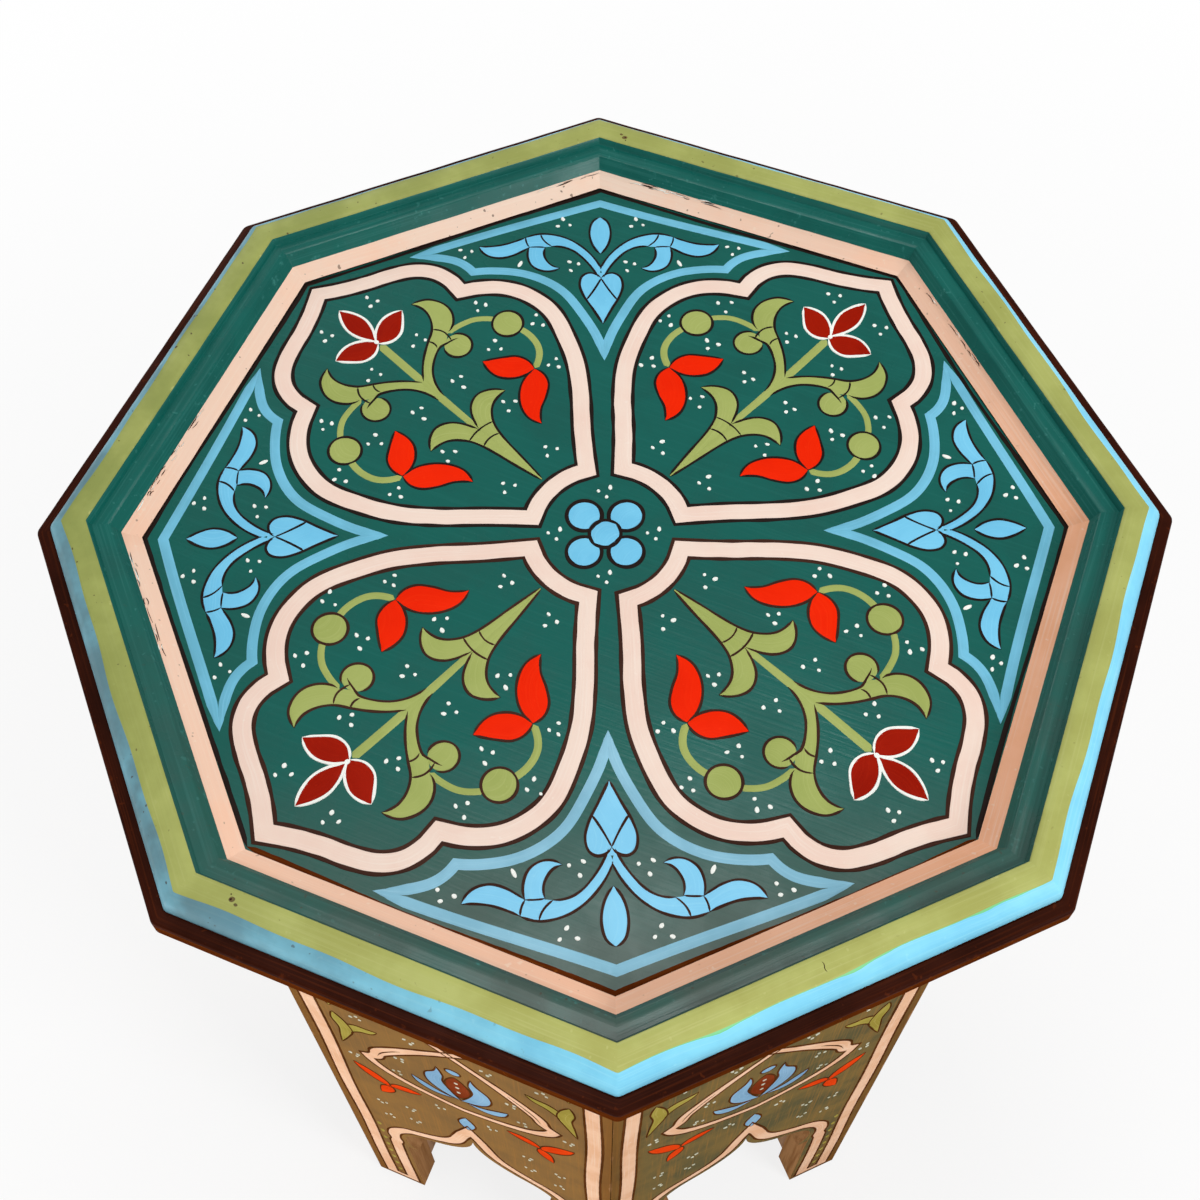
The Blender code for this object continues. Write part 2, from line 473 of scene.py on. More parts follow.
@dataclass(frozen=True)
class WoodFinish:
    """Bare pale wood with long grain and a planed surface."""

    name: str
    colour: str
    ring: str
    roughness: float = 0.72
    gloss: float = 0.25

    def grain(self, sheet: Sheet, scale: Sequence[float]) -> tuple[Socket, Socket]:
        """Return the wood's colour and the height of its grain.

        Args:
            sheet: The material's nodes.
            scale: Grain lines for each metre along x, y and z.

        Returns:
            The colour socket and the height socket.
        """
        lines = sheet.noise(Follow.SOLID, scale, 5.0, 0.65)
        tone = sheet.span(sheet.noise(Follow.SOLID, (9.0, 9.0, 9.0), 2.0, 0.5), 0.2, 0.8, 0.6, 1.0)
        share = sheet.math("MULTIPLY", sheet.span(lines, 0.38, 0.66, 0.0, 0.85), tone)
        return sheet.mix(share, self.colour, self.ring), lines

    def material(self, scale: Sequence[float]) -> bpy.types.Material:
        """Return the wood as a material with its grain along the least of the scales."""
        sheet = new_sheet(self.name)
        colour, lines = self.grain(sheet, scale)
        sheet.bump(lines, 0.0004, 0.35)
        roughness = sheet.span(lines, 0.3, 0.7, self.roughness - 0.08, self.roughness + 0.06)
        return sheet.dress(colour, roughness, self.gloss)


BARE_WOOD = WoodFinish("bare_wood_grain", "#b98a5c", "#8a5c36")


class Coat(Enum):
    """The paints on the table, each with the fields of its finish after the name."""

    # GREEN and TEAL end in a grey tint that is a painted sheen near the front. SKY's grey tint is painted
    # shade on the sides away from the lamp on the right. BLUSH is an orange tone for slopes in shade, with a
    # pale tint that is painted light. OLIVE ends in a browner tone of its paint.
    GREEN = ("#0c5b52", "#094d45", "#237067", 0.25, 0.12, 0.6, 0.14, 0.08, "#504f48")
    TEAL = ("#0d5d54", "#094d46", "#3f857d", 0.25, 0.12, 0.6, 0.22, 0.35, "#504f48")
    GROUND = ("#7e693f", "#605a3e", "#a2763e", 0.6, 0.0, 1.0, 0.5, 0.4)
    OLIVE = ("#b8bc6d", "#a9a85a", "#c9ca84", 0.40, 0.08, 0.8, 0.35, 0.4, "#8b9450")
    SKY = ("#8edff9", "#74c6ea", "#a8e8fb", 0.38, 0.08, 0.6, 0.4, 0.3, "#5a6a68")
    MINT = ("#84d898", "#78c884", "#a4e4a8", 0.40, 0.08)
    BROWN = ("#35140a", "#220b05", "#5a260f", 0.45, 0.02, 0.7, 0.4, 0.5)
    # This rust brown is the seam and panel edge paint, and a painted bounce light on the rim's lower edge.
    RUST_AND_BOUNCE_LIGHT = ("#5e2a0c", "#421906", "#8a4712", 0.6, 0.0, 0.7, 0.4, 0.5)
    BLUSH = ("#f5b793", "#eaa57c", "#f6dcc8", 0.42, 0.04, 0.6, 0.35, 0.4, "#f0dccb")
    CREAM = ("#f0d9ca", "#eccbbb", "#f6e9de", 0.44, 0.06, 0.6, 0.35, 0.3)
    LEAF = ("#a3ae62", "#95a155", "#b7bf77")
    AZURE = ("#78c8ea", "#67b8de", "#91d5f2")
    LAGOON = ("#75c0dd", "#68afc8", "#8ccfec", 0.44, 0.06, 0.9)
    # These two lighter, greyer blues are a painted sheen for the corner nearest the front.
    AZURE_SHEEN = ("#8bd2f2", "#7dc6ea", "#a2def6")
    MIST = ("#90c4da", "#80b4ca", "#a6d2e4", 0.44, 0.06, 0.9)
    SCARLET = ("#f12704", "#e62103", "#f93d12", 0.45, 0.02, 0.6, 0.2)
    MAROON = ("#9c1906", "#861104", "#b22a10", 0.45, 0.02, 0.6, 0.2)
    UMBER = ("#3a2016", "#2a150e", "#563222", 0.46, 0.05)
    INK = ("#1c110d", "#140c09", "#32201a", 0.46, 0.05)
    WHITE = ("#f4f6f0", "#e8ece4", "#fafbf8", 0.46, 0.06, 0.5, 0.2)
    PEACH = ("#f5c8a6", "#e8b189", "#f8dec8", 0.6, 0.0, 0.8, 0.45, 0.45)
    MUSTARD = ("#b0a04c", "#98893a", "#c6b76c", 0.6, 0.0, 0.8, 0.4, 0.4)
    VERMILION = ("#ee4614", "#d8390c", "#f4662f", 0.6, 0.0, 0.8, 0.3, 0.3)
    POWDER = ("#8fb8d6", "#779fc0", "#aecfe4", 0.6, 0.0, 0.8, 0.4, 0.4)
    CHESTNUT = ("#8a3c1e", "#732e14", "#a45530", 0.6, 0.0, 0.8, 0.3, 0.3)
    TAN = ("#60371a", "#492711", "#83522a", 0.6, 0.0, 0.8, 0.4, 0.4)
    CHALK = ("#dcdcc6", "#c6c6ac", "#ecece0", 0.6, 0.0, 0.8, 0.3, 0.3)

    def finish(self) -> PaintFinish:
        """Return the paint's finish."""
        return PaintFinish(f"{self.name.lower()}_paint", *self.value)

    def layer(self) -> float:
        """Return how far the paint stands above its ground, so that later coats lie on earlier ones."""
        bands, lines, dots = ("CREAM", "PEACH"), ("INK", "UMBER", "TAN"), ("WHITE", "CHALK")
        for names, height in ((bands, 0.10), (lines, 0.20), (dots, 0.27)):
            if self.name in names:
                return height
        return 0.13


@dataclass(frozen=True)
class Sway:
    """The painter's unsteady hand: a slow drift of the drawing, a little different in each place."""

    seed: int
    reach: float = 0.5

    def drift(self, x: Array, y: Array) -> tuple[Array, Array]:
        """Return the drawing's x and y with the drift added, a sum of slow waves in both."""
        p, q, r, s = np.random.default_rng(self.seed).uniform(0.0, math.tau, 4)
        across = np.sin(y / 23.0 + p) + 0.6 * np.sin(x / 17.0 + y / 41.0 + q)
        along = np.sin(x / 21.0 + r) + 0.6 * np.sin(y / 19.0 - x / 37.0 + s)
        return x + self.reach * across, y + self.reach * along


@dataclass(frozen=True)
class Plane:
    """A flat face to paint on, with its middle, its two directions and its outward normal."""

    origin: Place
    across: Place
    along: Place
    out: Place
    sway: Sway

    def lift(self, x: Array, y: Array, height: Array) -> Array:
        """Return drawn points as points in metres: middle plus x across, y along and height outwards.

        Args:
            x: Places across.
            y: Places along.
            height: Places above the face.

        Returns:
            The points, on the grid that x has.
        """
        x, y = self.sway.drift(x, y)
        axes = np.array((self.across, self.along, self.out))
        return np.asarray(self.origin) + MM * sum(
            part[..., None] * axis for part, axis in zip((x, y, height), axes)
        )


def outward(side: float) -> Place:
    """Return the direction in which a side looks, counted from the front; a half is a corner."""
    return math.sin(side * TURN), -math.cos(side * TURN), 0.0


def level_plane(side: float, height: float, sway: Sway) -> Plane:
    """Return a level face at a height in metres, with y outwards over a side or a corner."""
    across = (-math.cos(side * TURN), -math.sin(side * TURN), 0.0)
    return Plane((0.0, 0.0, height), across, outward(side), UP, sway)


class Painting:
    """Painted shapes gathered by paint. Each paint becomes one piece of thin raised strokes."""

    BRUSH_HAIRS = (22.0, 1500.0, 1.0)

    def __init__(self, name: str, slot: str, step: float = 0.9) -> None:
        """Start an empty painting.

        Args:
            name: What the pieces' names start with.
            slot: The record's material slot.
            step: Distance between points along the edges of leaves and petals.
        """
        self.name, self.slot, self.step = name, slot, step
        self.shapes: dict[Coat, list[tuple[Array, Array, bool]]] = {}

    def build(self) -> None:
        """Make one piece for each paint."""
        for coat, shapes in self.shapes.items():
            points, uvs, faces, start = [], [], [], 0
            for grid, uv, closed in shapes:
                rows, columns = grid.shape[:2]
                faces += tube_faces(rows, columns, closed, start)
                points.append(grid.reshape(-1, 3))
                uvs.append(uv)
                start += rows * columns
            name = f"{self.name}_{coat.name.lower()}"
            material = coat.finish().material(Follow.BRUSH, self.BRUSH_HAIRS)
            make_piece(name, np.vstack(points), faces, np.vstack(uvs), [material], self.slot)
            LOG.info("painted %s: %d strokes", name, len(shapes))


class Hand:
    """The hand that draws on one face for a painting, straight or mirrored left to right."""

    CROSS = np.array([-1.0, -0.8, 0.0, 0.8, 1.0])
    RISE = np.array([0.0, 1.0, 1.0, 1.0, 0.0])
    CROWN = np.array([0.0, 0.0, 0.04, 0.0, 0.0])
    UNDERSIDE = -0.03
    LEAST_WIDTH = 0.06
    BRUSH_SHIFT = 37.0
    BLUNT = 0.12
    THIN = 1.0
    UNEVEN = 0.18
    DOT_END = 0.16

    def __init__(self, painting: Painting, plane: Plane, flip: float = 1.0) -> None:
        """Set the hand to a face.

        Args:
            painting: Where the shapes go.
            plane: The face they are on.
            flip: Minus one for a mirrored drawing.
        """
        self.painting, self.plane, self.flip = painting, plane, np.array([flip, 1.0])

    def at(self, points: Union[Point, Line]) -> Array:
        """Return drawn points on this hand's side."""
        return np.asarray(points, float) * self.flip

    def patch(self, coat: Coat, left: Array, right: Array, closed: bool = False, lift: float = 0.0) -> None:
        """Add the paint between two edges: straight across from edge to edge, raised and slightly crowned.

        The surface point at (row, t) lies between the edges at share t of the way. Its height is the
        coat's layer inside and zero at the edges, and one line below closes the underside. Where the
        edges meet at an end, they are held a hair apart.

        Args:
            coat: The paint.
            left: The edge on the left, seen along the rows.
            right: The edge on the right, with as many points.
            closed: Whether the last row joins the first.
            lift: Added height, for a shape that lies on another of its coat.
        """
        loop = np.vstack([left, right[::-1]])
        turn = np.roll(loop, -1, axis=0)
        if not closed and (loop[:, 0] * turn[:, 1] - turn[:, 0] * loop[:, 1]).sum() > 0:
            left, right = right, left
        left, right = left.copy(), right.copy()
        for end, beside in ((0, 1), (-1, -2)):
            if np.linalg.norm(right[end] - left[end]) < self.LEAST_WIDTH:
                lean = right[beside] - left[beside]
                lean = lean * self.LEAST_WIDTH / 2 / np.linalg.norm(lean)
                left[end], right[end] = left[end] - lean, right[end] + lean
        share = (np.append(self.CROSS, 0.0) + 1) / 2
        x = left[:, :1] * (1 - share) + right[:, :1] * share
        y = left[:, 1:] * (1 - share) + right[:, 1:] * share
        tops = self.RISE * (coat.layer() + lift) + self.CROWN
        height = np.broadcast_to(np.append(tops, self.UNDERSIDE), x.shape)
        shapes = self.painting.shapes.setdefault(coat, [])
        along = self.BRUSH_SHIFT * len(shapes) + distances((left + right) / 2)
        span = np.linalg.norm(right - left, axis=1)[:, None] * share
        uv = np.stack(np.broadcast_arrays(along[:, None], span), axis=-1).reshape(-1, 2) * MM
        shapes.append((self.plane.lift(x, y, height), uv, closed))

    def trace(
        self,
        coat: Coat,
        line: Array,
        width: Width,
        closed: bool = False,
        lift: float = 0.0,
        point: float = 0.0,
    ) -> None:
        """Add a brush stroke: the line moved half its width to each side, narrowing at open ends.

        A thin stroke's width also rises and falls a little with its place on the face.

        Args:
            coat: The paint.
            line: The middle of the stroke.
            width: Its width, or widths spread evenly along it.
            closed: Whether the stroke is a ring.
            lift: Added height.
            point: Length over which each end narrows to a point; zero gives round ends.
        """
        spread = np.atleast_1d(np.asarray(width, float))
        half = np.interp(np.linspace(0.0, 1.0, len(line)), np.linspace(0.0, 1.0, len(spread)), spread) / 2
        if not closed:
            place = distances(line)
            end = np.minimum(place, place[-1] - place)
            reach = point if point else float(half.max())
            near = np.clip(end / max(min(reach, place[-1] / 2), TINY), 0.0, 1.0)
            half = half * np.clip(near if point else np.sqrt(1 - (1 - near) ** 2), self.BLUNT, 1.0)
        x, y = line.T
        uneven = np.sin(x / 3.1 + y / 4.7 + self.plane.sway.seed) * np.sin(x / 2.3 - y / 3.7)
        half = half * np.where(half < self.THIN, 1 + self.UNEVEN * uneven, 1.0)
        away = left_normals(line, closed) * half[:, None]
        self.patch(coat, line + away, line - away, closed, lift)

    def line(self, coat: Coat, points: Line, width: Width, point: float = 0.0) -> None:
        """Add a smooth stroke through points."""
        self.trace(coat, smooth(self.at(points)), width, point=point)

    def band(self, fill: Coat, edging: Coat, ring: Array, width: Width, edging_width: float) -> None:
        """Add a closed band with a thin line along each of its edges."""
        self.trace(fill, ring, width, True)
        away = left_normals(ring, True) * np.reshape(width, (-1, 1)) / 2
        for edge in (ring + away, ring - away):
            self.trace(edging, edge, edging_width, True)

    def leaf(
        self, coat: Coat, left: Line, right: Line, outline: Optional[Coat] = None, width: float = 1.0
    ) -> None:
        """Add a leaf or petal between two edges from its base to its tip, with a drawn outline.

        Args:
            coat: The paint.
            left: Points of one edge from base to tip.
            right: Points of the other edge from base to tip.
            outline: The paint of the outline, if there is one.
            width: The outline's width.
        """
        edges = [smooth(self.at(edge), self.painting.step) for edge in (left, right)]
        share = np.linspace(0.0, 1.0, max(len(edge) for edge in edges))
        self.patch(coat, *(pick(edge, np.linspace(0.0, 1.0, len(edge)), share) for edge in edges))
        for edge in edges if outline else ():
            self.trace(outline, edge, width, point=2.5)

    def spindle(self, coat: Coat, half: Line, outline: Coat, width: float) -> None:
        """Add a shape that mirrors onto itself, given its right half from foot to tip, with an outline."""
        edge = smooth(half, self.painting.step)
        self.patch(coat, mirror(edge), edge)
        for side in both_sides(edge):
            self.trace(outline, side, width, point=2.0)

    def dot(
        self,
        coat: Coat,
        centre: Point,
        wide: float,
        tall: float = 0.0,
        turn: float = 0.0,
        rows: int = 7,
        lift: float = 0.0,
    ) -> None:
        """Add a round or oval spot: an ellipse cut across into rows.

        Args:
            coat: The paint.
            centre: Its middle.
            wide: Half its width.
            tall: Half its height, or zero for a round spot.
            turn: How far it is turned, in degrees.
            rows: Rows of the grid.
            lift: Added height.
        """
        angle = np.linspace(self.DOT_END, math.pi - self.DOT_END, rows)
        spin = math.radians(turn)
        matrix = np.array([[math.cos(spin), math.sin(spin)], [-math.sin(spin), math.cos(spin)]])
        edge = np.stack([wide * np.sin(angle), -(tall or wide) * np.cos(angle)], axis=1)
        self.patch(coat, mirror(edge) @ matrix + centre, edge @ matrix + centre, lift=lift)

    def ring(self, coat: Coat, centre: Point, radius: float, width: float, lift: float = 0.0) -> None:
        """Add a drawn circle."""
        self.trace(coat, arc(centre, radius, 0.0, 360.0, 0.9)[:-1], width, True, lift)

    def triple(self, centre: Point, size: float = 0.77, reach: float = 2.8, coat: Coat = Coat.WHITE) -> None:
        """Add three pale dots round a place, turned a little differently each time.

        Args:
            centre: The middle of the three.
            size: Radius of a dot.
            reach: Distance of a dot from the middle.
            coat: Their paint.
        """
        x, y = self.at(centre)
        rng = np.random.default_rng(int(abs(x) * 31 + abs(y) * 17) + self.plane.sway.seed * 101)
        start = rng.uniform(0.0, math.tau)
        for number in range(3):
            angle = start + number * math.tau / 3 + rng.uniform(-0.25, 0.25)
            away = reach * rng.uniform(0.8, 1.2)
            spot = (x + away * math.cos(angle), y + away * math.sin(angle))
            wide = size * rng.uniform(0.85, 1.15)
            self.dot(coat, spot, wide, wide * rng.uniform(0.9, 1.35), rng.uniform(0, 180), 6)


class Motif(ABC):
    """A drawing that mirrors left to right."""

    def paint(self, painting: Painting, plane: Plane) -> None:
        """Draw the whole motif on a plane."""
        straight = Hand(painting, plane)
        self.paint_border(straight)
        for hand in (straight, Hand(painting, plane, -1.0)):
            self.paint_half(hand)
        self.paint_axis(straight)

    @abstractmethod
    def paint_border(self, hand: Hand) -> None:
        """Draw what goes round the motif."""

    @abstractmethod
    def paint_half(self, hand: Hand) -> None:
        """Draw what the two halves share."""

    @abstractmethod
    def paint_axis(self, hand: Hand) -> None:
        """Draw what lies on the axis."""


@dataclass(frozen=True)
class Cartouche(Motif):
    """The large flower bed in a quarter of the panel: a cream band round a stem with leaves and buds."""

    line: Coat = Coat.INK
    band_width: float = 7.9
    outline_width: float = 1.5
    clear_share: float = 0.62
    foot_radius: float = 29.6
    side: Line = (
        (15.2, 25.2), (27, 38.5), (40, 52), (50, 64.5), (57.5, 79), (61.5, 90), (62, 98), (59.5, 109),
        (53.5, 118), (42.2, 126.3),
    )
    crown: Line = (
        (42.2, 126.3), (43, 133), (41.5, 141), (36.5, 148), (28, 153.5), (18, 158), (9, 162.8), (0, 168.7),
    )
    sheath_low: Line = (
        (0.3, 35.4), (1.4, 42), (2.5, 49.4), (3.5, 57), (4.6, 63), (6.2, 68), (8, 71), (11, 74.2),
        (14.5, 76), (20.8, 76.4),
    )
    sheath_top: Line = (
        (-0.3, 35.4), (-0.4, 56), (0.2, 71), (1, 73.4), (2.6, 77), (5, 80.4), (8.4, 82.7), (12, 83.3),
        (15.6, 82), (18.6, 79.6), (20.8, 76.4),
    )
    branch_root: Line = ((-1.0, 93.0), (-0.6, 99.0))
    branch_in: Line = (
        (0.4, 103.6), (5, 109), (9.8, 113.2), (14.6, 116.5), (19.8, 119.8), (22.6, 123.1), (24.3, 126.8),
        (24.8, 130.4), (24.2, 133.4), (23, 136),
    )
    branch_out: Line = (
        (1.6, 92.5), (2.2, 96.3), (3.8, 100.6), (6.8, 105), (10.8, 108.4), (14.6, 110.6), (17, 111.4),
    )
    branch_turn: Line = ((20, 111.6),)
    leaf_out: Line = (
        (24.4, 114.6), (27, 115.3), (30, 117.6), (32.3, 121.4), (32.8, 125.6), (31.6, 129.8), (29, 133.4),
        (23, 136),
    )
    collars: Sequence[Line] = (
        ((15.1, 117), (16.2, 114.2), (15.6, 111.8)),
        ((20.6, 120), (22.9, 116.2), (22.9, 112.6), (22.2, 110.4)),
    )
    bud: Point = (22.6, 106.8)
    bud_radius: float = 5.6
    bud_turns: Point = (68.0, -212.0)
    bud_hook: Line = ((19.8, 110.8), (22.8, 110.2), (25, 109.4))
    tendril: Line = ((23.8, 114.4), (31, 113.4), (36.6, 111.2), (42.4, 105.4))
    berry: Point = (44.6, 100)
    berry_radius: float = 6.3
    runner: Line = ((46, 95.4), (46.8, 87.4), (44.2, 80.4), (37, 75.4))
    petals: Sequence[tuple[Line, Line]] = (
        (
            ((36.5, 75.4), (37.6, 80), (36, 85), (31.4, 89), (24.2, 93.6)),
            ((36.5, 75.4), (32.6, 75.6), (27.4, 78.2), (23.6, 83), (22.8, 88), (24.2, 93.6)),
        ),
        (
            ((36.5, 75.2), (37.4, 70.4), (35.4, 65.8), (30.2, 62), (24.2, 59), (19.4, 54)),
            ((36.5, 75.2), (30, 74.8), (24, 71.4), (19.6, 66), (17.8, 60), (19.4, 54)),
        ),
    )
    flower_up: Line = ((-0.3, 131.2), (3.2, 136), (9, 138.9), (14, 138.6), (18.2, 136.5))
    flower_low: Line = ((-0.3, 131.2), (4.6, 127.7), (10, 128.1), (14.8, 132.2), (18.2, 136.5))
    flower_half: Line = ((0, 132.8), (3.2, 138), (4.5, 144), (3.2, 150), (0, 155.4))
    flower_eye: Point = (0.0, 131.9)
    flower_line: float = 1.1
    stem: Line = ((0.0, 70.5), (0.0, 129.5))
    stem_widths: Width = (2.6, 3.3, 3.5, 3.5)
    stem_ties: Line = ((4.4, 63.2), (6.6, 69.2))
    triples: Line = (
        (12.5, 149.5), (12.3, 120.5), (42.3, 114.8), (11, 93), (33, 95.5), (54, 92), (17, 70.5), (43.7, 71),
        (12, 42.5),
    )

    def paint_border(self, hand: Hand) -> None:
        """Draw the cream band: foot arc, long side, notch and pointed crown, mirrored, with dark edges."""
        foot_x, foot_y = self.side[0]
        foot = arc((0.0, 0.0), self.foot_radius, 90.0, math.degrees(math.atan2(foot_y, foot_x)))
        half = join(foot, smooth(self.side), smooth(self.crown))
        corners = (foot[-1], self.side[-1], self.crown[-1])
        half = clear_corners(half, corners, self.band_width * self.clear_share)
        hand.band(Coat.CREAM, self.line, loop_of_halves(half), self.band_width, self.outline_width)

    def paint_half(self, hand: Hand) -> None:
        """Draw the leaves, bud, berry, petals and dots of one half."""
        bud, berry = hand.at(self.bud), hand.at(self.berry)
        hand.leaf(Coat.LEAF, self.sheath_low, self.sheath_top)
        leaf = self.branch_out + self.branch_turn + self.leaf_out
        hand.leaf(Coat.LEAF, leaf, self.branch_root + self.branch_in)
        hand.line(Coat.LEAF, self.tendril, 2.5)
        hand.line(Coat.LEAF, self.runner, 2.8)
        for centre, radius in ((bud, self.bud_radius), (berry, self.berry_radius)):
            hand.dot(Coat.LEAF, centre, radius, rows=22)
        hand.ring(self.line, berry, self.berry_radius + 0.2, 1.1)
        turned = arc(self.bud, self.bud_radius + 0.3, *self.bud_turns, 0.9)
        hand.trace(self.line, hand.at(turned), 1.0, point=2.0)
        hook = self.branch_out + self.bud_hook
        for line in (self.sheath_low, self.sheath_top[2:], self.branch_in, hook, self.leaf_out):
            hand.line(self.line, line, 1.05, 2.5)
        for line in self.collars:
            hand.line(self.line, line, 0.9, 1.2)
        for out, into in self.petals:
            hand.leaf(Coat.SCARLET, out, into, self.line)
        hand.leaf(Coat.MAROON, self.flower_up, self.flower_low, Coat.WHITE, self.flower_line)
        for centre in self.triples:
            hand.triple(centre)

    def paint_axis(self, hand: Hand) -> None:
        """Draw the upright stem, the lines across its foot and the middle petal of the flower."""
        hand.trace(Coat.LEAF, smooth(self.stem, 1.5), self.stem_widths)
        for wide, level in self.stem_ties:
            hand.line(self.line, ((-wide, level), (0.0, level + 1.2), (wide, level)), 0.9, 1.0)
        hand.spindle(Coat.MAROON, self.flower_half, Coat.WHITE, self.flower_line)
        hand.dot(Coat.WHITE, self.flower_eye, 1.1)


@dataclass(frozen=True)
class Spandrel(Motif):
    """The blue-edged field in a corner between two beds, with an almond, split leaves and a bud."""

    line: Coat = Coat.INK
    fill: Coat = Coat.AZURE
    border: Coat = Coat.LAGOON
    border_width: float = 3.9
    clear_share: float = 0.55
    apex: Point = (0.0, 168.7)
    shoulder: Line = ((53.5, 130.2), (59, 135.5), (66, 138.2), (80, 139.5))
    flank: Line = (
        (0, 84), (2.2, 93.5), (8, 106), (15.5, 118), (23, 124.3), (33, 128.8), (44, 130.5), (53.5, 130.2),
    )
    almond: Line = ((0, 140.2), (3.2, 144.6), (4.4, 150), (2.9, 155.4), (0, 160))
    bud_half: Line = (
        (0, 101.4), (4, 109.5), (7.6, 116.5), (9.1, 122.3), (8, 127), (5.2, 128.8), (2, 128), (0, 125.8),
    )
    bud_split: Line = ((0, 125.8), (1.6, 122.4), (4.0, 118.0), (6.4, 114.2))
    leaf_up: Line = (
        (-0.2, 131), (1.4, 134.8), (4.6, 139.8), (9, 144.6), (14.4, 148.4), (20.4, 150.5), (26, 150.9),
        (31.8, 149),
    )
    leaf_low: Line = (
        (1.2, 126.4), (3.4, 131.2), (7.2, 136.8), (11.2, 141), (15.8, 143.4), (21, 143.8), (26, 143.2),
        (30.4, 143.2),
    )
    collars: Sequence[Line] = (
        ((25.6, 150.8), (24.2, 147.2), (20.8, 143.9)),
        ((31.9, 149), (31.5, 146), (30.2, 143.4)),
        ((23.6, 143.2), (26.4, 143.5), (30.2, 143.4)),
    )
    blade_up: Line = ((31.8, 149), (36.4, 146.8), (41.4, 145), (46.4, 144.2), (51.4, 144.2))
    blade_low: Line = (
        (30.2, 143.4), (33, 141.4), (37, 139), (42, 137.6), (46.8, 138.6), (49.8, 141), (51.4, 144.2),
    )
    lobe_out: Line = ((30.2, 143.6), (30.9, 138.6), (29, 133), (25, 130.2), (21, 129.9), (17.4, 131.6))
    lobe_in: Line = ((23.4, 143.5), (24, 139), (22.4, 135), (20.4, 132.8), (17.4, 131.6))
    triples: Line = ((16, 156.5), (12, 133), (57, 141))
    seed: Point = (34.0, 134.0)
    seed_turn: float = 25.0

    def paint_border(self, hand: Hand) -> None:
        """Draw the blue border as one ring that thins towards its long tips and its inner point."""
        inner, tip = self.flank[0], self.shoulder[-1]
        half = join(smooth(self.flank), smooth(self.shoulder), smooth((tip, self.apex)))
        corners = (inner, self.flank[-1], tip, self.apex)
        ring = loop_of_halves(clear_corners(half, corners, self.border_width * self.clear_share))
        to_tip = np.linalg.norm(np.abs(ring) - tip, axis=1)
        to_inner = np.linalg.norm(ring - inner, axis=1)
        taper = np.minimum(1.0, 0.25 + to_tip / 14.0) * np.minimum(1.0, 0.5 + to_inner / 16.0)
        hand.trace(self.border, ring, self.border_width * taper, True)

    def paint_half(self, hand: Hand) -> None:
        """Draw the split leaf and the dots of one half."""
        hand.leaf(self.fill, self.leaf_up, self.leaf_low)
        for edge in (self.leaf_up, self.leaf_low[:-2]):
            hand.line(self.line, edge, 1.0, 2.0)
        for up, low in ((self.blade_up, self.blade_low), (self.lobe_out, self.lobe_in)):
            hand.leaf(self.fill, up, low, self.line)
        for line in self.collars:
            hand.line(self.line, line, 0.9, 1.2)
        for centre in self.triples:
            hand.triple(centre)
        hand.dot(Coat.WHITE, hand.at(self.seed), 0.8, 1.8, self.seed_turn * hand.flip[0])

    def paint_axis(self, hand: Hand) -> None:
        """Draw the almond near the corner and the bud that points to the middle of the panel."""
        for half in (self.almond, self.bud_half):
            hand.spindle(self.fill, half, self.line, 1.1)
        for edge in both_sides(self.bud_split):
            hand.line(self.line, edge, 1.0, 1.0)


@dataclass(frozen=True)
class Roundel:
    """The small flower in the middle of the panel: four blue discs under a fifth."""

    petal_radius: float = 6.7
    petal_reach: float = 11.4
    heart_radius: float = 6.0
    heart_lift: float = 0.12
    outline: float = 1.6
    dots_reach: float = 19.0

    def paint(self, painting: Painting, plane: Plane) -> None:
        """Draw the flower on a plane whose y axis points to a petal."""
        hand = Hand(painting, plane)
        for quarter in range(4):
            angle = quarter * math.pi / 2
            centre = (self.petal_reach * math.sin(angle), self.petal_reach * math.cos(angle))
            hand.dot(Coat.AZURE, centre, self.petal_radius, rows=24)
            hand.ring(Coat.INK, centre, self.petal_radius, self.outline)
            between = angle + math.pi / 4
            hand.triple((self.dots_reach * math.sin(between), self.dots_reach * math.cos(between)))
        hand.dot(Coat.AZURE, (0.0, 0.0), self.heart_radius, rows=24, lift=self.heart_lift)
        hand.ring(Coat.INK, (0.0, 0.0), self.heart_radius, self.outline, self.heart_lift / 2)


@dataclass(frozen=True)
class PanelFinish:
    """Paint on the panel's upper face, greyed in patches towards one corner as a painted sheen, and another
    round its edge and below.
    """

    face: PaintFinish
    edge: PaintFinish
    sheen_corner: Place = (0.383, -0.924, 0.0)

    def material(self) -> bpy.types.Material:
        """Return the panel's material: the face's paint where it looks up, the edge's elsewhere."""
        sheet = new_sheet("panel_face_and_edge")
        edge, _, _ = self.edge.coat(sheet, Follow.SOLID, (300.0, 300.0, 300.0))
        colour, roughness, height = self.face.coat(sheet, Follow.SOLID, (26.0, 900.0, 900.0))
        upward = sheet.facing(UP)
        upper = sheet.span(upward, 0.4, 0.6, 0.0, 1.0)
        gloss = sheet.span(upward, 0.4, 0.6, 0.0, self.face.gloss)
        # The face is greyed in patches towards the corner nearest the front: a painted sheen of reflected
        # light.
        sheen_patches = sheet.span(sheet.noise(Follow.SOLID, (30.0, 30.0, 30.0), 4.0, 0.6), 0.25, 0.6, 0.7, 1.0)
        near = sheet.span(sheet.toward(self.sheen_corner), 0.085, 0.165, 0.0, 0.55)
        colour = sheet.mix(sheet.math("MULTIPLY", near, sheen_patches), colour, self.face.age_and_light_tint)
        sheet.bump(height)
        return sheet.dress(sheet.mix(upper, edge, colour), roughness, gloss)


ROUND_ALMOND: Line = ((0, 139.6), (2.7, 143.4), (4.3, 148.4), (4.5, 153.4), (3.1, 158.2), (0, 160.6))


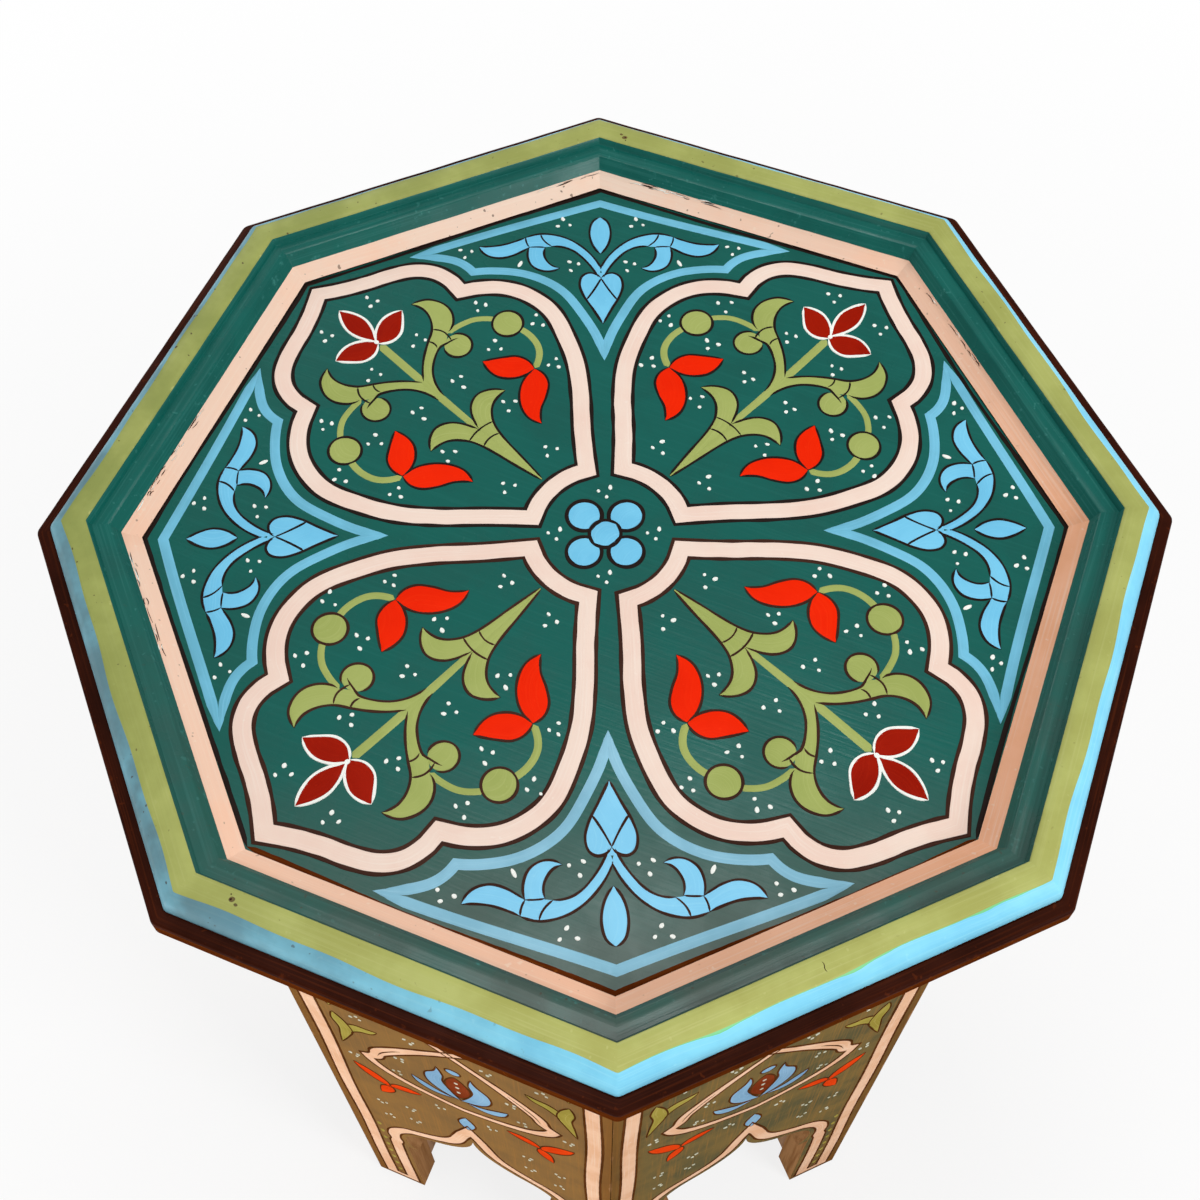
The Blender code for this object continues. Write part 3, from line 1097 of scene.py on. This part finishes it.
@dataclass
class TopPanel:
    """The green panel with its painted ornament: beds and corner fields by turns, the far ones first."""

    beds: Sequence[Cartouche] = (Cartouche(), Cartouche(), Cartouche(Coat.UMBER), Cartouche(Coat.UMBER))
    corners: Sequence[Spandrel] = (
        Spandrel(almond=ROUND_ALMOND),
        Spandrel(),
        # The corner nearest the front has lighter, greyer blues: painted sheen.
        Spandrel(Coat.UMBER, Coat.AZURE_SHEEN, Coat.MIST, almond=ROUND_ALMOND),
        Spandrel(),
    )
    roundel: Roundel = Roundel()
    first_bed: float = 3.5
    seam_apothem: float = 162.5
    seam_width: float = 1.8

    def plane(self, side: float, seed: int) -> Plane:
        """Return the panel's upper face with y towards a side or a corner, for a hand with a seed."""
        return level_plane(side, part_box("top_panel")[1].z, Sway(seed))

    def build(self) -> None:
        """Dress the panel and paint it."""
        dress_node("top_panel", PanelFinish(Coat.GREEN.finish(), Coat.RUST_AND_BOUNCE_LIGHT.finish()).material())
        names = ("bed", "corner", "middle", "seam")
        beds, corners, middle, seam = paintings = [Painting(f"panel_{name}", "panel_paint") for name in names]
        for quarter, (bed, corner) in enumerate(zip(self.beds, self.corners)):
            side = self.first_bed + 2 * quarter
            bed.paint(beds, self.plane(side, quarter + 1))
            corner.paint(corners, self.plane(side + 1, quarter + 5))
        self.roundel.paint(middle, self.plane(self.first_bed, 9))
        self.paint_seam(Hand(seam, self.plane(SIDES / 2, 10)))
        for painting in paintings:
            painting.build()

    def paint_seam(self, hand: Hand) -> None:
        """Draw the line round the foot of the rim, rusty on the two near sides, with a wavering width."""
        radius = self.seam_apothem / math.cos(HALF_TURN)
        for coat, first, count in ((Coat.RUST_AND_BOUNCE_LIGHT, -3, 2), (Coat.INK, -1, 6)):
            corners = HALF_TURN + TURN * np.arange(first, first + count + 1)
            ring = radius * np.stack([np.cos(corners), np.sin(corners)], axis=1)
            line = join(*(smooth(ring[side : side + 2], 3.0) for side in range(count)))
            place = np.arange(len(line))
            waver = self.seam_width + 0.5 * np.sin(place * 0.21) * np.sin(place * 0.083)
            hand.trace(coat, line, waver)


@dataclass
class RimMoulding:
    """The tray rim: eight mitred lengths of moulding with painted bands.

    Lists of eight have a value for the first corner of each side, from the front.
    """

    thickness: float = 16.0
    edge_round: float = 1.2
    ledge_width: float = 5.3
    ledge_drop: float = 8.0
    ovolo_radius: float = 7.2
    top_flat: float = 6.4
    first_run: float = 1.4
    first_drop: float = 3.4
    tread_width: float = 6.6
    second_run: float = 2.5
    second_drop: float = 5.8
    slope_run: float = 6.4
    slope_drop: float = 4.0
    toe: float = 0.6
    rebate_inset: float = 23.7
    arris: float = 0.4
    lower_arris: float = 0.8
    olive_reach: float = 16.0
    olive_more: Sequence[float] = (0.0, 0.0, 0.0, 0.0, 9.0, 19.0, 9.0, 0.0)
    # Paler slope paint where the slope faces the lamp on the right: painted light.
    blush_painted_light: Sequence[float] = (0.5, 0.25, 0.0, 0.0, 0.5, 0.8, 0.7, 0.6)
    browned: Sequence[float] = (0.5, 0.0, 0.2, 0.5, 0.5, 0.6, 0.95, 1.0)
    # Greyer blue on the sides away from the lamp on the right: painted shade.
    sky_painted_shade: Sequence[float] = (0.84, 0.0, 0.0, 0.0, 0.0, 0.5, 0.78, 0.8)
    # Greyer teal on the treads near the front: painted sheen.
    teal_painted_sheen: Sequence[float] = (0.35, 0.7, 0.4, 0.0, 0.0, 0.0, 0.0, 0.0)
    fringed_side: int = 1
    nails: Sequence[tuple[int, float]] = ((0, 59.0), (4, -64.0))
    nail_spots: Sequence[tuple] = (
        (Coat.GROUND, (0.0, 0.0), 1.3, 0.9, 30.0, 9),
        (Coat.UMBER, (0.3, 0.1), 0.55, 0.35, 50.0, 7),
        (Coat.GROUND, (-2.0, 1.2), 0.8, 0.5, 0.0, 7),
        (Coat.UMBER, (1.0, -1.5), 0.3, 0.25, 0.0, 5),
    )
    crack: Line = ((4.0, 2.6), (4.3, 1.4), (3.8, 0.0), (4.1, -1.0))
    crack_side: int = 1
    scuffs: Sequence[tuple[int, float, float, int]] = (
        (3, 0.2, 0.9, 9), (4, 0.3, 0.93, 22), (5, -0.97, -0.6, 7), (6, 0.1, 0.95, 16), (7, -0.95, -0.1, 16),
    )
    scuff_reach: float = 65.0
    rows: int = 60
    corner_rows: int = 5
    hidden_columns: int = 4
    brush_hairs: Place = (16.0, 1100.0, 1.0)
    brush_shift: float = 211.0
    mark_sink_metres: float = 0.00015

    def stops(self) -> Array:
        """Return the distances from the axis at which the bands of the section end, from its edge inwards."""
        bands = (self.ledge_width, self.ovolo_radius, self.top_flat, self.first_run, self.tread_width)
        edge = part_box("rim_moulding_right")[1].x / MM
        return edge - np.cumsum((0.0,) + bands + (self.second_run, self.slope_run))

    def section(self, waver: Array, fringe: Optional[Array]) -> tuple[Array, Array, Array, list[Coat], Array]:
        """Return the moulding's closed section for each row along it.

        The section goes from the foot of the cream slope up over the steps and the quarter round,
        down the edge and back underneath. The line between olive and blue on the quarter round
        wavers from row to row.

        Args:
            waver: Angle in degrees added to that line, one for each row.
            fringe: Angle of a strip where the two paints ran together, one for each row, or none.

        Returns:
            Apothem and height below the top of each point, one row for each row along, and for each
            column the corner radius, the paint of the face after it and how far it is rubbed.
        """
        edge, nose, crest, lip, step_back, step, slope_top, foot = self.stops()
        low = self.first_drop + self.second_drop
        seat = low + self.slope_drop + self.toe
        soft, rubbed = self.arris, 0.8
        columns: list[tuple[Array, Array, float, Coat, float]] = []

        def put(apothem: Number, height: Number, radius: float, coat: Coat, wear: float = 0.0) -> None:
            """Add one column of the section."""
            columns.append((apothem + 0.0 * waver, height + 0.0 * waver, radius, coat, wear))

        def put_round(degrees: Number, radius: float, coat: Coat) -> None:
            """Add a column on the quarter round, at an angle from the level."""
            angle = np.radians(degrees)
            rise = self.ovolo_radius * (np.sin(angle) - 1)
            put(crest + self.ovolo_radius * np.cos(angle), rise, radius, coat)

        for share in np.linspace(0.0, 1.0, 4)[:-1]:
            drop = low + (1 - share) * self.slope_drop
            put(foot + share * self.slope_run, -drop, 0.3, Coat.BLUSH, 0.6 * share)
        # The second riser is flecked with lighter teal: wear, and a painted highlight of its gloss above the
        # slope.
        put(slope_top, -low, 0.3, Coat.TEAL, 0.78)
        put(step - 0.4 * soft, -self.first_drop - soft, 0.3, Coat.TEAL, rubbed)
        put(step + soft, -self.first_drop, 0.3, Coat.TEAL, rubbed)
        put(step + 0.5 * self.tread_width, -self.first_drop, 0.3, Coat.TEAL)
        put(step_back, -self.first_drop, 0.4, Coat.TEAL)
        put(lip - 0.4 * soft, -soft, 0.6, Coat.OLIVE, rubbed)
        put(lip + soft, 0.0, 0.8, Coat.OLIVE, rubbed)
        put((lip + crest) / 2, 0.0, 1.0, Coat.OLIVE)
        line = 90.0 - self.olive_reach + waver
        for share in (0.0, 0.5):
            put_round(90.0 + (line - 90.0) * share, 1.4, Coat.OLIVE)
        if fringe is not None:
            put_round(line, 1.6, Coat.MINT)
            line = line - fringe
        for share in np.linspace(0.0, 1.0, 9):
            put_round(line * (1 - share), 1.6 + 1.6 * share, Coat.SKY if share < 1.0 else Coat.BROWN)
        put(nose, -self.ledge_drop, 3.2, Coat.BROWN)
        # The lower part of the edge and its under arris turn a lighter rust brown: painted warm light thrown
        # up from below.
        for angle in np.radians((90.0, 60.0, 30.0, 0.0)):
            reach = edge - self.edge_round * (1 - math.cos(angle))
            drop = self.ledge_drop + self.edge_round * (1 - math.sin(angle))
            put(reach, -drop, 4.0, Coat.BROWN if angle > 0.0 else Coat.RUST_AND_BOUNCE_LIGHT, rubbed)
        put(edge, -self.thickness + 4.0, 4.0, Coat.RUST_AND_BOUNCE_LIGHT)
        put(edge, -self.thickness + self.lower_arris, 4.0, Coat.RUST_AND_BOUNCE_LIGHT, rubbed)
        put(edge - self.lower_arris, -self.thickness, 3.6, Coat.RUST_AND_BOUNCE_LIGHT)
        put(edge - self.rebate_inset, -self.thickness, 0.3, Coat.BROWN)
        put(edge - self.rebate_inset, -seat, 0.3, Coat.BROWN)
        put(foot, -seat, 0.3, Coat.BROWN)
        apothem, height, radius, coats, wear = zip(*columns)
        apothem, height = np.stack(apothem, axis=1), np.stack(height, axis=1)
        return apothem, height, np.array(radius), list(coats), np.array(wear)

    def build(self) -> None:
        """Make the eight lengths and their marks."""
        for side in range(SIDES):
            self.build_length(side)
        self.build_marks()

    def top_plane(self, side: int) -> Plane:
        """Return the rim's top over one side, with y as the distance from the middle."""
        return level_plane(side, CAD_BOX[1][2] - self.mark_sink_metres, Sway(60 + side, 0.0))

    def slope_plane(self, side: int) -> Plane:
        """Return the pale slope over one side, with y as the distance up it from its foot."""
        top, out, up = self.top_plane(side), np.array(outward(side)), np.array(UP)
        steep = math.atan2(self.slope_drop, self.slope_run)
        along = out * math.cos(steep) + up * math.sin(steep)
        normal = up * math.cos(steep) - out * math.sin(steep)
        drop = self.first_drop + self.second_drop + self.slope_drop
        middle = out * MM * self.stops()[-1] + up * (CAD_BOX[1][2] - MM * drop)
        return Plane(tuple(middle), top.across, tuple(along), tuple(normal), top.sway)

    @staticmethod
    def between_corners(values: Sequence[float], side: int, run: Array) -> Array:
        """Return values given at the eight corners, carried evenly along one side.

        Args:
            values: One value for the first corner of each side.
            side: Number of the side, from the front.
            run: Places along it, from minus one to one.

        Returns:
            One value for each place.
        """
        return values[side] * (1 - run) / 2 + values[(side + 1) % SIDES] * (1 + run) / 2

    def build_marks(self) -> None:
        """Make the nail marks and a hair crack on the olive flat, and the scuffs below it."""
        painting = Painting("rim_mark", "rim_paint")
        middle = self.stops()[2] - 0.45 * self.top_flat
        for side, place in self.nails:
            hand = Hand(painting, self.top_plane(side))
            for coat, (x, y), *shape in self.nail_spots:
                hand.dot(coat, (place + x, middle + y), *shape)
        crack = smooth(placed(self.crack, 1.0, middle), 0.8)
        Hand(painting, self.top_plane(self.crack_side)).trace(Coat.UMBER, crack, 0.3, point=1.0)
        self.paint_scuffs(painting)
        painting.build()

    def paint_scuffs(self, painting: Painting) -> None:
        """Draw thin ragged scrapes along the upper edge of the pale slope, dark ones and chalky ones."""
        rng = np.random.default_rng(77)
        top = math.hypot(self.slope_run, self.slope_drop)
        for side, start, end, count in self.scuffs:
            hand = Hand(painting, self.slope_plane(side))
            for number in range(count):
                x, y = -self.scuff_reach * rng.uniform(start, end), top - rng.uniform(0.1, 1.5)
                length = rng.uniform(2.0, 8.0)
                dips = rng.uniform(-0.4, 0.3, 3)
                line = smooth(np.stack([x + length * np.array((0.0, 0.5, 1.0)), y + dips], axis=1), 0.8)
                coat = Coat.UMBER if number % 3 else Coat.WHITE
                hand.trace(coat, line, rng.uniform(0.15, 0.4), point=length / 3)

    def build_length(self, side: int) -> None:
        """Make one length: the section carried along a straight line that rounds off at the mitres.

        A row's place along the length goes from minus one to one. Within one the row is on the
        straight part, and the last rows turn about each corner by half of its angle.

        Args:
            side: Number of the side, from the front.
        """
        rng = np.random.default_rng(40 + side)
        turn = np.linspace(0.0, HALF_TURN, self.corner_rows + 1)[1:]
        bend = np.concatenate([-turn[::-1], np.zeros(self.rows), turn])
        end = np.ones(self.corner_rows)
        run = np.concatenate([-end, np.linspace(-1.0, 1.0, self.rows), end])
        calm = 1 - run**8
        phase = rng.uniform(0.0, math.tau, 4)
        waver = calm * (4.0 * np.sin(run * 4.1 + phase[0]) + 2.5 * np.sin(run * 11.3 + phase[1]))
        waver = waver - self.between_corners(self.olive_more, side, run)
        run_together = np.maximum(0.0, np.sin(run * 9.7 + 0.6)) * (1 + 0.5 * np.sin(run * 31.0))
        fringe = 0.4 + calm * (1.2 + 4.6 * run_together) if side == self.fringed_side else None
        apothem, height, radius, coats, wear = self.section(waver, fringe)
        rows, columns = apothem.shape
        plane_marks = calm * (0.10 * np.sin(run * 6.3 + phase[2]) + 0.06 * np.sin(run * 17.0 + phase[3]))
        visible = np.arange(columns) < columns - self.hidden_columns
        height = height - np.abs(plane_marks)[:, None] * visible
        half = (apothem - radius) * math.tan(HALF_TURN)
        x = run[:, None] * half + radius * np.sin(bend)[:, None]
        y = -apothem + radius * (1 - np.cos(bend))[:, None]
        flat = np.stack([x, y, CAD_BOX[1][2] / MM + height], axis=-1).reshape(-1, 3) * MM
        spin = np.array(Matrix.Rotation(side * TURN, 3, "Z"))
        step = np.hypot(np.diff(apothem, axis=1), np.diff(height, axis=1)).mean(axis=0)
        across = np.concatenate([[0.0], np.cumsum(step)])
        uv = np.stack(np.broadcast_arrays(x + self.brush_shift * side, across), axis=-1).reshape(-1, 2) * MM
        paints = list(dict.fromkeys(coats))
        materials = [coat.finish().material(Follow.BRUSH, self.brush_hairs) for coat in paints]
        finish = np.tile([paints.index(coat) for coat in coats], rows - 1)
        finish = np.append(finish, [paints.index(Coat.BROWN)] * 2)
        values = {WEAR: np.tile(wear, rows)}
        # Tints by corner: painted light on the slope, painted shade on the blue, a painted sheen on the teal,
        # and the olive's own browning.
        for coat, ages in (
            (Coat.BLUSH, self.blush_painted_light),
            (Coat.SKY, self.sky_painted_shade),
            (Coat.TEAL, self.teal_painted_sheen),
            (Coat.OLIVE, self.browned),
        ):
            values[coat.finish().age_and_light_name()] = np.repeat(self.between_corners(ages, side, run), columns)
        name, faces = f"rim_length_{SIDE_NAMES[side]}", tube_faces(rows, columns, False)
        piece = make_piece(name, flat @ spin.T, faces, uv, materials, "rim_paint", finish, **values)
        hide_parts(f"rim_moulding_{SIDE_NAMES[side]}")
        LOG.info("made %s", name)


@dataclass(frozen=True)
class BoardFinish:
    """Paint on a board's outer face, browned and rubbed along the upright edges, with painted shade as a
    brown band under the rim, darker towards the floor, and bare wood inside.
    """

    paint: PaintFinish
    wood: WoodFinish
    stain_and_shade: str = "#7d4f22"
    front_bounce_light: str = "#a4703e"

    def material(self) -> bpy.types.Material:
        """Return the board's material: paint where the face looks away from the middle, wood elsewhere.

        The board that looks to the front is tinted a lighter warm brown: painted warm bounce light.
        """
        sheet = new_sheet("board_paint_and_wood")
        colour, roughness, height = self.paint.coat(sheet, Follow.SOLID, (900.0, 900.0, 18.0))
        wood, lines = self.wood.grain(sheet, (260.0, 260.0, 9.0))
        # The board facing the front is tinted a lighter warm brown: painted warm bounce light.
        front = sheet.span(sheet.facing((0.0, -1.0, 0.0)), 0.9, 0.98, 0.0, 0.45)
        colour = sheet.mix(front, colour, self.front_bounce_light)
        reach = sheet.facing()
        outside = sheet.span(reach, 0.09, 0.11, 0.0, 1.0)
        blotch = sheet.noise(Follow.SOLID, (70.0, 70.0, 22.0), 4.0, 0.65)
        slant = sheet.math("DIVIDE", sheet.off_axis(), reach)
        slant = sheet.math("ADD", slant, sheet.math("MULTIPLY", blotch, 0.02))
        level = sheet.math("ADD", sheet.toward(UP), sheet.math("MULTIPLY", blotch, 0.03))
        colour = sheet.mix(sheet.span(slant, 1.055, 1.098, 0.0, 0.7), colour, self.stain_and_shade)
        # A brown band just under the rim is painted shade from its overhang; the paint also darkens towards
        # the floor.
        for start, full in ((0.455, 0.49), (0.06, 0.015)):
            colour = sheet.mix(sheet.span(level, start, full, 0.0, 0.6), colour, self.stain_and_shade)
        colour = sheet.mix(sheet.span(slant, 1.0915, 1.0935, 0.0, 0.85), colour, wood)
        sheet.bump(sheet.math("ADD", height, lines))
        return sheet.dress(sheet.mix(outside, wood, colour), roughness, self.paint.gloss)


@dataclass
class SideBoard:
    """A painted side board: a peach frame that follows the arch, two medallions, leaves and petals."""

    motif_step: float = 1.4
    frame_width: float = 7.4
    frame_reach: float = 62.4
    frame_top: float = 456.0
    foot: float = 8.4
    arch_line: Line = (
        (49.6, 104), (48.4, 111), (49.2, 120), (47, 133), (38.8, 146.6), (29.6, 153.6), (20.4, 161),
        (14.4, 167.5), (9.5, 177), (6.8, 187), (3.9, 198), (0, 209.5),
    )
    arch_clear: float = 13.0
    edging: float = 1.3
    waist: float = 345.0
    medallion_slope: Line = ((0, 0), (8, 9), (20, 22.5), (31, 36.5), (37.5, 47), (39.5, 55), (44, 60))
    medallion_back: Line = ((44, 60), (40.5, 69), (33, 78), (21, 85), (9, 89), (0, 91))
    medallion_widths: Sequence[float] = (4.4, 5.0, 7.0, 8.2, 6.2, 6.2, 6.0, 5.6)
    medallion_clear: float = 3.6
    slit: Line = ((24.5, 28.5), (30.5, 36.5), (35.5, 45), (38.2, 53))
    leaves: Sequence[tuple[Line, Line]] = (
        (
            ((55, -53), (54, -39), (53, -27), (54.6, -15), (52.5, -4.5)),
            ((55, -53), (49.8, -39), (46.4, -27), (48, -15), (52.5, -4.5)),
        ),
        (
            ((47.6, -30), (42, -22), (36.4, -18.4), (33, -11.5)),
            ((47.8, -18), (43, -13.6), (38, -13), (33, -11.5)),
        ),
    )
    petal_base: float = 238.0
    petals: Sequence[tuple[Line, Line]] = (
        (((37, 0), (44.5, 4.5), (50.5, 13), (53.5, 24)), ((37, 0), (38.5, 9), (44, 17.5), (53.5, 24))),
        (((38, 2), (34, 10), (28, 12.5), (21, 11)), ((38, 2), (32, 2.5), (26, 5.5), (21, 11))),
        (((37, 2), (35.5, -5), (38, -12), (43.5, -17.5)), ((37, 2), (42, -3), (43.5, -10), (43.5, -17.5))),
    )
    triples: Line = (
        (30, 206), (46, 196), (30, 276), (51, 276), (17, 341), (26, 302), (13, 238), (41, 345), (27, 393),
        (13, 444), (51, 414), (30, 182), (45, 170),
    )
    bead_x: float = 56.0
    bead_levels: Sequence[int] = range(24, 140, 16)
    flower_rise: float = 100.0
    flower: Sequence[tuple[Line, Line]] = (
        (
            ((0, 272), (9, 276), (15, 286), (15, 299), (10, 308), (8, 317)),
            ((0, 272), (4, 282), (7, 294), (6, 305), (8, 317)),
        ),
        (((3, 272), (13, 268), (20, 273), (23, 284)), ((3, 272), (11, 274), (16, 278), (23, 284))),
    )
    almond: Line = ((0, 276), (5, 285), (6, 294), (4, 303), (0, 310))
    almond_dots: Sequence[float] = (286.0, 294.0, 301.0)
    knob: float = 318.0
    knob_radius: float = 3.6
    drop: Line = ((0, 214), (3.4, 220), (4.4, 226), (3.0, 232), (0, 238))

    def plane(self, side: int) -> Plane:
        """Return the outer face of a board, with y as the height above the floor."""
        out, angle = outward(side), side * TURN
        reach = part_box("side_board_right")[1].x
        across = (math.cos(angle), math.sin(angle), 0.0)
        return Plane((out[0] * reach, out[1] * reach, 0.0), across, UP, out, Sway(20 + side, 0.4))

    def build(self) -> None:
        """Dress the eight boards and paint them."""
        finish = BoardFinish(Coat.GROUND.finish(), BARE_WOOD).material()
        bands = Painting("board_band", "body_paint")
        motifs = Painting("board_motif", "body_paint", self.motif_step)
        for side in range(SIDES):
            dress_node(f"side_board_{SIDE_NAMES[side]}", finish)
            self.paint_bands(Hand(bands, self.plane(side)))
            halves = [Hand(motifs, self.plane(side), flip) for flip in (1.0, -1.0)]
            for hand in halves:
                self.paint_half(hand)
            self.paint_flowers(halves)
        bands.build()
        motifs.build()

    def paint_bands(self, hand: Hand) -> None:
        """Draw the frame and the two medallions, with a slit on each side of a medallion."""
        hand.band(Coat.PEACH, Coat.TAN, self.frame_ring(), self.frame_width, self.edging)
        half = join(smooth(self.medallion_slope, 2.0), smooth(self.medallion_back, 2.0))
        half = clear_corners(half, (self.medallion_slope[0], self.medallion_slope[-1]), self.medallion_clear)
        places = np.linspace(0.0, 1.0, len(self.medallion_widths))
        widths = np.interp(np.linspace(0.0, 1.0, len(half)), places, self.medallion_widths)
        widths = np.concatenate([widths, widths[::-1][1:-1]])
        for up in (1.0, -1.0):
            ring = placed(loop_of_halves(half), up, self.waist)
            hand.band(Coat.PEACH, Coat.TAN, ring, widths, self.edging)
            for line in both_sides(placed(self.slit, up, self.waist)):
                hand.line(Coat.TAN, line, 0.9, 6.0)

    def frame_ring(self) -> Array:
        """Return the middle of the frame: up the sides, across the top and back along the arch."""
        foot_x, apex = self.arch_line[0][0], self.arch_line[-1]
        outer = [(0.0, self.frame_top), (self.frame_reach, self.frame_top), (self.frame_reach, self.foot)]
        outer += [(foot_x, self.foot), self.arch_line[0]]
        straight = [smooth(outer[i : i + 2], 4.0) for i in range(len(outer) - 1)]
        half = join(*straight, smooth(self.arch_line, 2.0))
        half = clear_corners(half, outer[1:] + [apex], self.frame_width * 0.6)
        return loop_of_halves(clear_corners(half, [apex], self.arch_clear))

    def paint_half(self, hand: Hand) -> None:
        """Draw the leaves, petals, dots and beads of one half."""
        for up in (1.0, -1.0):
            for edges in self.leaves:
                hand.leaf(Coat.MUSTARD, *(placed(edge, up, self.waist) for edge in edges), Coat.TAN, 0.9)
        for up, base, count in ((1.0, self.petal_base, 3), (-1.0, 2 * self.waist - self.petal_base, 2)):
            for edges in self.petals[:count]:
                hand.leaf(Coat.VERMILION, *(placed(edge, up, base) for edge in edges), Coat.TAN, 0.7)
        for centre in self.triples:
            hand.triple(centre, 0.8, 2.4, Coat.CHALK)
        for level in self.bead_levels:
            hand.dot(Coat.MUSTARD, hand.at((self.bead_x, level)), 1.2, 2.6)

    def paint_flowers(self, halves: Sequence[Hand]) -> None:
        """Draw the blue flower in the lower medallion, another in the upper and a drop above the arch."""
        rises = (0.0, self.flower_rise)
        for hand in halves:
            for edges in self.flower:
                for rise in rises:
                    hand.leaf(Coat.POWDER, *(placed(edge, 1.0, rise) for edge in edges), Coat.TAN)
        hand = halves[0]
        for rise in rises:
            hand.spindle(Coat.CHESTNUT, placed(self.almond, 1.0, rise), Coat.TAN, 1.0)
            for level in self.almond_dots:
                hand.dot(Coat.CHALK, (0.0, level + rise), 1.1)
            hand.dot(Coat.POWDER, (0.0, self.knob + rise), self.knob_radius, rows=16)
            hand.ring(Coat.TAN, (0.0, self.knob + rise), self.knob_radius, 1.0)
        hand.spindle(Coat.POWDER, self.drop, Coat.TAN, 1.0)


@dataclass
class CornerPosts:
    """The posts inside the corners, in bare wood."""

    grain: Place = (240.0, 240.0, 8.0)

    def build(self) -> None:
        """Dress the eight posts."""
        material = BARE_WOOD.material(self.grain)
        for number in range(1, SIDES + 1):
            dress_node(f"corner_post_{number}", material)
        LOG.info("dressed %d corner posts", SIDES)


@dataclass(frozen=True)
class Lamp:
    """A flat lamp: where it is and points to in metres, the lengths of its sides and its watts."""

    name: str
    place: Place
    target: Place
    size: Point
    power: float

    def build(self) -> None:
        """Hang the lamp."""
        data = bpy.data.lights.new(self.name, "AREA")
        data.shape = "RECTANGLE"
        data.energy = self.power
        data.size, data.size_y = self.size
        lamp = add_object(self.name, data)
        lamp.location = self.place
        lamp.rotation_euler = look(self.place, self.target).to_euler()


def look(place: Place, target: Place) -> Quaternion:
    """Return the turn of a lamp or camera that looks from a place to a target."""
    return (Vector(target) - Vector(place)).to_track_quat("-Z", "Y")


@dataclass
class Studio:
    """Pale floor, soft lamps and the camera, in metres."""

    eye: Place = (0.12186, -0.31401, 1.03577)
    aim: Place = (-0.00699, 0.01097, 0.5)
    roll: float = math.radians(0.06)
    lens: float = 50.67
    sensor: float = 36.0
    shift: float = -0.096
    floor_reach: float = 40.0
    floor_colour: Place = (0.9, 0.9, 0.9)
    floor_roughness: float = 0.9
    sky: float = 0.16
    lamps: Sequence[Lamp] = (
        Lamp("lamp_overhead", (-0.15, 0.21, 2.1), (0.0, 0.1, 0.45), (0.88, 0.30), 12.2),
        Lamp("lamp_right", (1.45, -0.40, 1.45), (0.0, 0.0, 0.45), (0.6, 0.6), 18.5),
        Lamp("lamp_back", (-1.20, 1.10, 1.35), (0.0, 0.0, 0.40), (0.8, 0.8), 8.6),
        Lamp("lamp_front", (0.25, -1.55, 0.80), (0.0, 0.0, 0.35), (0.8, 0.5), 3.2),
        Lamp("lamp_left", (-0.95, -1.30, 0.14), (0.0, -0.1, 0.30), (0.9, 0.2), 12.0),
    )

    def build(self) -> None:
        """Set the view, floor, world, lamps and camera."""
        bpy.context.scene.view_settings.view_transform = "Standard"
        self.build_floor()
        self.build_world()
        for lamp in self.lamps:
            lamp.build()
        self.build_camera()

    def build_floor(self) -> None:
        """Lay a pale floor that keeps the table's shadow and otherwise shows near white."""
        corners = np.array([(-1, -1, 0), (1, -1, 0), (1, 1, 0), (-1, 1, 0)]) * self.floor_reach
        mesh = bpy.data.meshes.new("floor")
        mesh.from_pydata(corners, [], [(0, 1, 2, 3)])
        sheet = new_sheet("floor_white")
        mesh.materials.append(sheet.dress((*self.floor_colour, 1.0), self.floor_roughness, 0.0))
        bare = sheet.span(sheet.off_axis(), 0.15, 1.1, 0.82, 1.0)
        glow = sheet.add("Emission", 0, {"Strength": 1.0})
        matt = sheet.nodes["Principled BSDF"].outputs[0]
        sheet.blend("Material Output", sheet.math("MULTIPLY", sheet.seen(), bare), matt, glow)
        add_object("floor", mesh)

    def build_world(self) -> None:
        """Make the soft surrounding light, which shows as white where it is looked at."""
        world = bpy.context.scene.world = bpy.data.worlds.new("studio")
        sheet = Sheet(world)
        light = sheet.nodes["Background"]
        sheet.feed(light.inputs["Color"], "#ffffff")
        sheet.feed(light.inputs["Strength"], self.sky)
        white = sheet.add("Background", 0, {"Color": "#ffffff", "Strength": 1.0})
        sheet.blend("World Output", sheet.seen(), light.outputs[0], white)

    def build_camera(self) -> None:
        """Set the camera where the photograph was taken from."""
        data = bpy.data.cameras.new("camera")
        data.lens, data.sensor_width, data.shift_y = self.lens, self.sensor, self.shift
        camera = add_object("camera", data)
        turn = look(self.eye, self.aim).to_matrix() @ Matrix.Rotation(self.roll, 3, "Z")
        camera.matrix_world = Matrix.Translation(self.eye) @ turn.to_4x4()
        bpy.context.scene.camera = camera


def main() -> None:
    """Build the studio and the table's looks in order."""
    logging.basicConfig(level=logging.INFO, format="%(name)s: %(message)s")
    Studio().build()
    for part in (TopPanel(), RimMoulding(), SideBoard(), CornerPosts()):
        part.build()
        LOG.info("finished %s", type(part).__name__)


if __name__ == "__main__":
    main()
